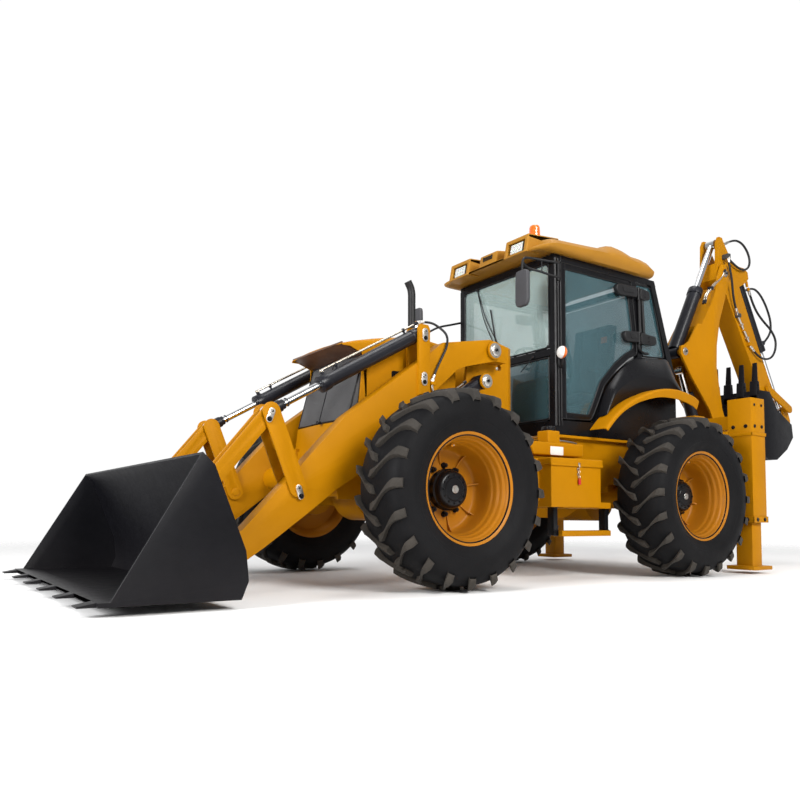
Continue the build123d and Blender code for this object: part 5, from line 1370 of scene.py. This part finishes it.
def pins():
    ff, ffd = Kit("tower_pin_ends", "front_frame", STEEL, 40), Kit("tower_pin_bolts", "front_frame", BLACK, 35)
    la, lad = Kit("arm_retainers", "loader_arms", STEEL, 40), Kit("arm_bolts", "loader_arms", BLACK, 35)
    lv, lvd = Kit("lever_retainers", FOLLOW["bucket_levers"], STEEL, 40), Kit("lever_bolts", FOLLOW["bucket_levers"], BLACK, 35)
    for s in (-1, 1):
        pin_head(ff, ffd, -735, 1594, 521, s, 0.040)
        pin_head(ff, ffd, -655, 1370, 521, s, 0.036)
        ff.bolt(F(-876, s * 387, 1504), Y * s, 0.007, 0.005)
        for (x0, z0), (x1, z1) in (((-115, 1643), (-116, 1600)), ((-108, 1352), (-108, 1308))):
            oval(la, (x0, z0), (x1, z1), s * 518, s * 524, 23)
            la.bar(F(x0, s * 524, z0), F(x0, s * 531, z0), 0.015, 20)
            lad.bolt(F(x1, s * 523.5, z1), Y * s, 0.009, 0.007)
            lad.bolt(F(x0, s * 530.5, z0), Y * s, 0.005, 0.004, washer=False)
        for (x0, z0), (x1, z1) in (((992, 1030), (1010, 984)), ((815, 595), (800, 548))):
            oval(lv, (x0, z0), (x1, z1), s * 517, s * 523, 20)
            lv.bar(F(x0, s * 523, z0), F(x0, s * 529, z0), 0.017, 20)
            lvd.bolt(F(x1, s * 522.5, z1), Y * s, 0.009, 0.007)
            lvd.bolt(F(x0, s * 528.5, z0), Y * s, 0.006, 0.004, washer=False)
    for k in (ff, la, lv):
        k.done(slot="chrome")
    for k in (ffd, lad, lvd):
        k.done(slot="black_paint")
    b, bd = Kit("boom_pin_ends", "boom", STEEL, 40), Kit("boom_pin_bolts", "boom", BLACK, 35)
    yc = YC * 1000
    for s in (-1, 1):
        for (x, z), w in (((-3047, 1887), 115), ((-3687, 2694), 115)):
            o = F(x, yc + s * w, z)
            b.lathe([(0, 0.034), (0.004, 0.034), (0.005, 0.026), (0.012, 0.025), (0.013, 0.0)], o, Y * s, 32)
            bd.bolt(o + Y * s * 0.012, Y * s, 0.008, 0.006, washer=False)
    b.done(slot="chrome")
    bd.done(slot="black_paint")


pins()


def fitting(kit, route, d, back):
    """The crimped sleeve and nut where a hose leaves its fitting."""
    a, b = Vector(route[0]) + Vector((XA, 0, 0)), Vector(route[1]) + Vector((XA, 0, 0))
    t = (b - a).normalized()
    kit.bar(a - t * 0.004, a + t * 0.030, d / 2 + 0.0028, 20, 0.001)
    kit.hexbar(a - t * 0.018, a - t * 0.003, d / 2 + 0.0058)
    if back > 0.02:
        kit.bar(a - t * back, a - t * 0.017, d / 2 + 0.0036, 16, 0.001)


def pipes():
    k = Kit("tilt_pipes", FOLLOW["tilt_barrels"], PIPE, smooth=60)
    e = Kit("tilt_fittings", FOLLOW["tilt_barrels"], CYL, smooth=40)
    for s in (-1, 1):
        y = s * 450
        k.tube([along_tilt(812, 44, y), along_tilt(812, 62, y), along_tilt(800, 72, y), along_tilt(760, 74, y), along_tilt(60, 66, y),
                along_tilt(-6, 68, y)], 0.0075, 12)
        e.bar(along_tilt(812, 40, y), along_tilt(812, 66, y), 0.013, 16)
        e.hexbar(along_tilt(6, 67.5, y), along_tilt(-22, 68.5, y), 0.012)
        for t in (110, 700):
            e.bar(along_tilt(t - 9, 66.5, y), along_tilt(t + 9, 66.5, y), 0.0125, 12)
            e.bar(along_tilt(t, 44, y), along_tilt(t, 64, y), 0.007, 10)
        # the gland's collar and its wiper ring
        ax = (along_tilt(1, 0, y) - along_tilt(0, 0, y)).normalized()
        e.lathe([(0, 0.0465), (0.004, 0.0495), (0.050, 0.0495), (0.054, 0.046), (0.058, 0.040), (0.0585, 0.024)], along_tilt(804, 0, y), ax, 40, caps=False)
        e.lathe([(0, 0.0465), (0.003, 0.0485), (0.016, 0.0485), (0.019, 0.0465)], along_tilt(60, 0, y), ax, 40, caps=False)
        for i in range(6):
            a = 2 * pi * i / 6
            u = Y * cos(a) + ax.cross(Y) * sin(a)
            e.bolt(along_tilt(858, 0, y) + u * 0.034, ax, 0.0045, 0.004, washer=False)
    k.done(slot="chrome")
    e.done(slot="charcoal_paint")
    r = Kit("tilt_rod_ends", FOLLOW["tilt_rods"], CYL, smooth=40)
    for s in (-1, 1):
        y = s * 450
        ax = (along_tilt(1, 0, y) - along_tilt(0, 0, y)).normalized()
        r.lathe([(0, 0.023), (0.002, 0.030), (0.022, 0.031), (0.026, 0.036), (0.070, 0.037), (0.076, 0.032), (0.078, 0.022)], along_tilt(1142, 0, y), ax, 32)
        r.ring(along_tilt(1120, 0, y), ax, 0.0245, 0.0035, 28, 6)
    r.done(slot="charcoal_paint")
    # lift cylinders: gland collar and the pipe along the barrel
    lk, le = Kit("lift_pipes", FOLLOW["lift_barrels"], PIPE, smooth=60), Kit("lift_fittings", FOLLOW["lift_barrels"], CYL, smooth=40)
    a0, a1 = Vector((-655, 1370)), Vector((60, 925))
    d = (a1 - a0).normalized(); n = Vector((-d.y, d.x))

    def al(t, h, y):
        q = a0 + d * t + n * h
        return F(q.x, y, q.y)
    for s in (-1, 1):
        y = s * 450
        ax = (al(1, 0, y) - al(0, 0, y)).normalized()
        le.lathe([(0, 0.0465), (0.004, 0.0495), (0.044, 0.0495), (0.048, 0.044), (0.050, 0.027)], al(652, 0, y), ax, 40, caps=False)
        lk.tube([al(640, 45, y), al(640, 58, y), al(620, 64, y), al(200, 62, y), al(130, 62, y)], 0.0065, 10)
        le.bar(al(640, 42, y), al(640, 60, y), 0.011, 14)
        le.hexbar(al(140, 62, y), al(112, 62, y), 0.011)
    lk.done(slot="chrome")
    le.done(slot="charcoal_paint")
    # hose ends
    f = Kit("arm_hose_ends", "loader_arms", STEEL, smooth=40)
    for rt in (ARM_HOSE, RIGHT_ARM_HOSE):
        fitting(f, rt, 0.016, 0.030)
        fitting(f, rt[::-1], 0.016, 0.026)
    for s in (-1, 1):
        f.bar(F(-128, s * 409, 1690), F(-128, s * 409, 1729), 0.0112, 16)
        # steel pipe from the bracket's foot along the arm's outer face
        f.tube([F(-179, s * 512, 1296), F(-184, s * 511, 1262), F(-224, s * 510, 1226), F(-300, s * 509, 1170), F(-330, s * 508, 1150)], 0.008, 10)
    f.done(slot="chrome")
    g = Kit("dipper_hose_ends", "dipper", STEEL, smooth=40)
    fitting(g, TOP_HOSE, 0.020, 0.052)
    fitting(g, TOP_HOSE[::-1], 0.020, 0.019)
    fitting(g, SIDE_HOSE, 0.020, 0.019)
    fitting(g, SIDE_HOSE[::-1], 0.020, 0.038)
    fitting(g, LOOP_HOSE, 0.020, 0.048)
    fitting(g, LOOP_HOSE[::-1], 0.020, 0.0)
    g.tube([F(-3900, 441, 2336), F(-3960, 441, 2258), F(-4030, 441, 2170), F(-4092, 441, 2090)], 0.0108, 12)
    for x, z in ((-3960, 2258), (-4050, 2143)):
        g.block(x - 12, x + 12, 424, 456, z - 8, z + 8, 2)
    g.done(slot="chrome")
    m = Kit("dipper_manifold", "dipper", DARKIRON, smooth=40)
    m.block(-3723.5, -3690.5, 419, 491.5, 2836.5, 2877.5, 3)
    m.block(-3926.5, -3883.5, 419, 463.5, 2316.5, 2353.5, 3)
    for y in (440, 470):
        m.bolt(F(-3706, y, 2877), Z, 0.007, 0.006)
    m.done(slot="cast_metal")
    bk = Kit("boom_pipes", "boom", PIPE, smooth=60)
    yb = YC * 1000 + 104
    for dy in (0, 19):
        bk.tube([F(-3352, yb + dy, 2372), F(-3392, yb + dy, 2452), F(-3500, yb + dy, 2552), F(-3620, yb + dy, 2648), F(-3668, yb + dy, 2712)], 0.0075, 10)
    bk.done(slot="chrome")
    bf = Kit("boom_pipe_ends", "boom", CYL, smooth=40)
    for dy in (0, 19):
        bf.hexbar(F(-3656, yb + dy, 2696), F(-3678, yb + dy, 2726), 0.011)
        bf.hexbar(F(-3362, yb + dy, 2392), F(-3346, yb + dy, 2360), 0.011)
    bf.block(-3470, -3440, yb - 12, yb + 30, 2500, 2530, 3)
    bf.done(slot="charcoal_paint")


pipes()


# ------------------------------------------------------------------ small things on the nose, the buckets and the legs
def details():
    n = Kit("nose_latch", "front_frame", BLACK, smooth=40)
    n.block(404, 424, 40, 66, 1040, 1062, 4)
    n.ring(F(424, 53, 1050), Y, 0.010, 0.003, 16, 6)
    n.done(slot="black_paint")
    t = Kit("bucket_tooth_roots", "backhoe_bucket", CHARCOAL, smooth=35)
    for i in range(5):
        y = YC * 1000 - 248 + 124 * i
        t.across([(y - 37, 1500), (y + 37, 1500), (y + 35, 1618), (y + 31, 1690), (y - 31, 1690), (y - 35, 1618)], -3914, -3868, 6, 2)
        t.bar(F(-3890, y - 39, 1650), F(-3890, y + 39, 1650), 0.009, 14)
    t.block(-3886, -3868, YC * 1000 - 298, YC * 1000 + 298, 1490, 1560, 4)
    t.done(slot="charcoal_paint")
    c = Kit("leg_collars", FOLLOW["stabilizer_frame"], YELLOW, smooth=35)
    b = Kit("leg_collar_bolts", FOLLOW["stabilizer_frame"], BLACK, smooth=35)
    for s in (-1, 1):
        for z0, z1 in ((400, 448), (1085, 1110)):
            for x0, x1, y0, y1 in ((-3103, -2897, 1095, 1103), (-3103, -2897, 897, 905), (-3103, -3095, 897, 1103), (-2905, -2897, 897, 1103)):
                c.block(x0, x1, min(s * y0, s * y1), max(s * y0, s * y1), z0, z1, 2)
        for x in (-3050, -2950):
            b.bolt(F(x, s * 1103, 424), Y * s, 0.010, 0.007)
            b.bolt(F(x, s * 1096, 1160), Y * s, 0.009, 0.006)
            b.bolt(F(x, s * 1096, 1330), Y * s, 0.007, 0.005)
        for y in (950, 1050):
            b.bolt(F(-2897, s * y, 424), X, 0.010, 0.007)
            b.bolt(F(-2904, s * y, 1160), X, 0.009, 0.006)
        b.ring(F(-2903, s * 1000, 640), X, 0.016, 0.004, 20, 6)
    c.done(slot="yellow_paint")
    b.done(slot="black_paint")


details()
for v in bpy.data.objects["backhoe_bucket_shape"].data.vertices:      # the teeth narrow to their points
    if v.co.z > 1.80:
        i = round((v.co.y - (YC - 0.248)) / 0.124)
        yt = YC - 0.248 + 0.124 * i
        v.co.y = yt + (v.co.y - yt) * 0.62


# ------------------------------------------------------------------ stage and light
ROOM = 0.36


def stage():
    me = bpy.data.meshes.new("floor")
    bm = bmesh.new()
    bmesh.ops.create_circle(bm, cap_ends=True, segments=96, radius=16)
    bm.to_mesh(me); bm.free()
    ob = bpy.data.objects.new("floor", me)
    bpy.context.scene.collection.objects.link(ob)
    m, nt, bs = nodes_of("floor_white")
    tc = nt.nodes.new("ShaderNodeTexCoord")
    n = noise(nt, 0.4, 3, 0.5, tc.outputs["Object"])
    c = ramp(nt, n.outputs["Fac"], [(0.3, (0.86, 0.86, 0.86)), (0.7, (0.88, 0.88, 0.88))])
    nt.links.new(c.outputs["Color"], bs.inputs["Base Color"])
    bs.inputs["Roughness"].default_value = 0.9
    bs.inputs["Specular IOR Level"].default_value = 0.1
    ln = nt.nodes.new("ShaderNodeVectorMath"); ln.operation = "LENGTH"
    nt.links.new(tc.outputs["Object"], ln.inputs[0])
    mr = nt.nodes.new("ShaderNodeMapRange"); mr.interpolation_type = "SMOOTHSTEP"
    mr.inputs["From Min"].default_value = 4.5
    mr.inputs["From Max"].default_value = 9.5
    mr.inputs["To Min"].default_value = 1.0
    mr.inputs["To Max"].default_value = 0.0
    nt.links.new(ln.outputs["Value"], mr.inputs["Value"])
    nt.links.new(mr.outputs[0], bs.inputs["Alpha"])
    me.materials.append(m)
    # a white backdrop on the far side of the object, the rest of the room dimmer
    w = bpy.data.worlds.new("studio")
    w.use_nodes = True
    wt = w.node_tree
    bg = wt.nodes["Background"]
    wc = wt.nodes.new("ShaderNodeTexCoord")
    dot = wt.nodes.new("ShaderNodeVectorMath"); dot.operation = "DOT_PRODUCT"
    wt.links.new(wc.outputs["Generated"], dot.inputs[0])
    dot.inputs[1].default_value = (-0.53, -0.848, 0.0)
    wr = ramp(wt, dot.outputs["Value"], [(0.10, (ROOM, ROOM, ROOM * 1.02)), (0.55, (1.0, 1.0, 1.0))])
    wt.links.new(wr.outputs["Color"], bg.inputs["Color"])
    bg.inputs["Strength"].default_value = 1.02
    bpy.context.scene.world = w

    def area(name, loc, at, size, power, col=(1, 1, 1)):
        l = bpy.data.lights.new(name, "AREA")
        l.shape = "DISK"; l.size = size; l.energy = power; l.color = col
        o = bpy.data.objects.new(name, l)
        bpy.context.scene.collection.objects.link(o)
        o.location = loc
        o.rotation_euler = (Vector(at) - Vector(loc)).to_track_quat("-Z", "Y").to_euler()
    area("key", (0.8, 10.0, 6.2), (-0.3, 0, 1.0), 4.5, 1180, (1.0, 0.985, 0.96))
    area("front", (9.5, 2.0, 3.2), (1.5, 0, 0.8), 3.5, 800)
    area("top", (-1.0, 0.5, 9.5), (-0.5, 0, 1.0), 4.0, 240)


stage()
bpy.context.scene.view_settings.view_transform = "Standard"
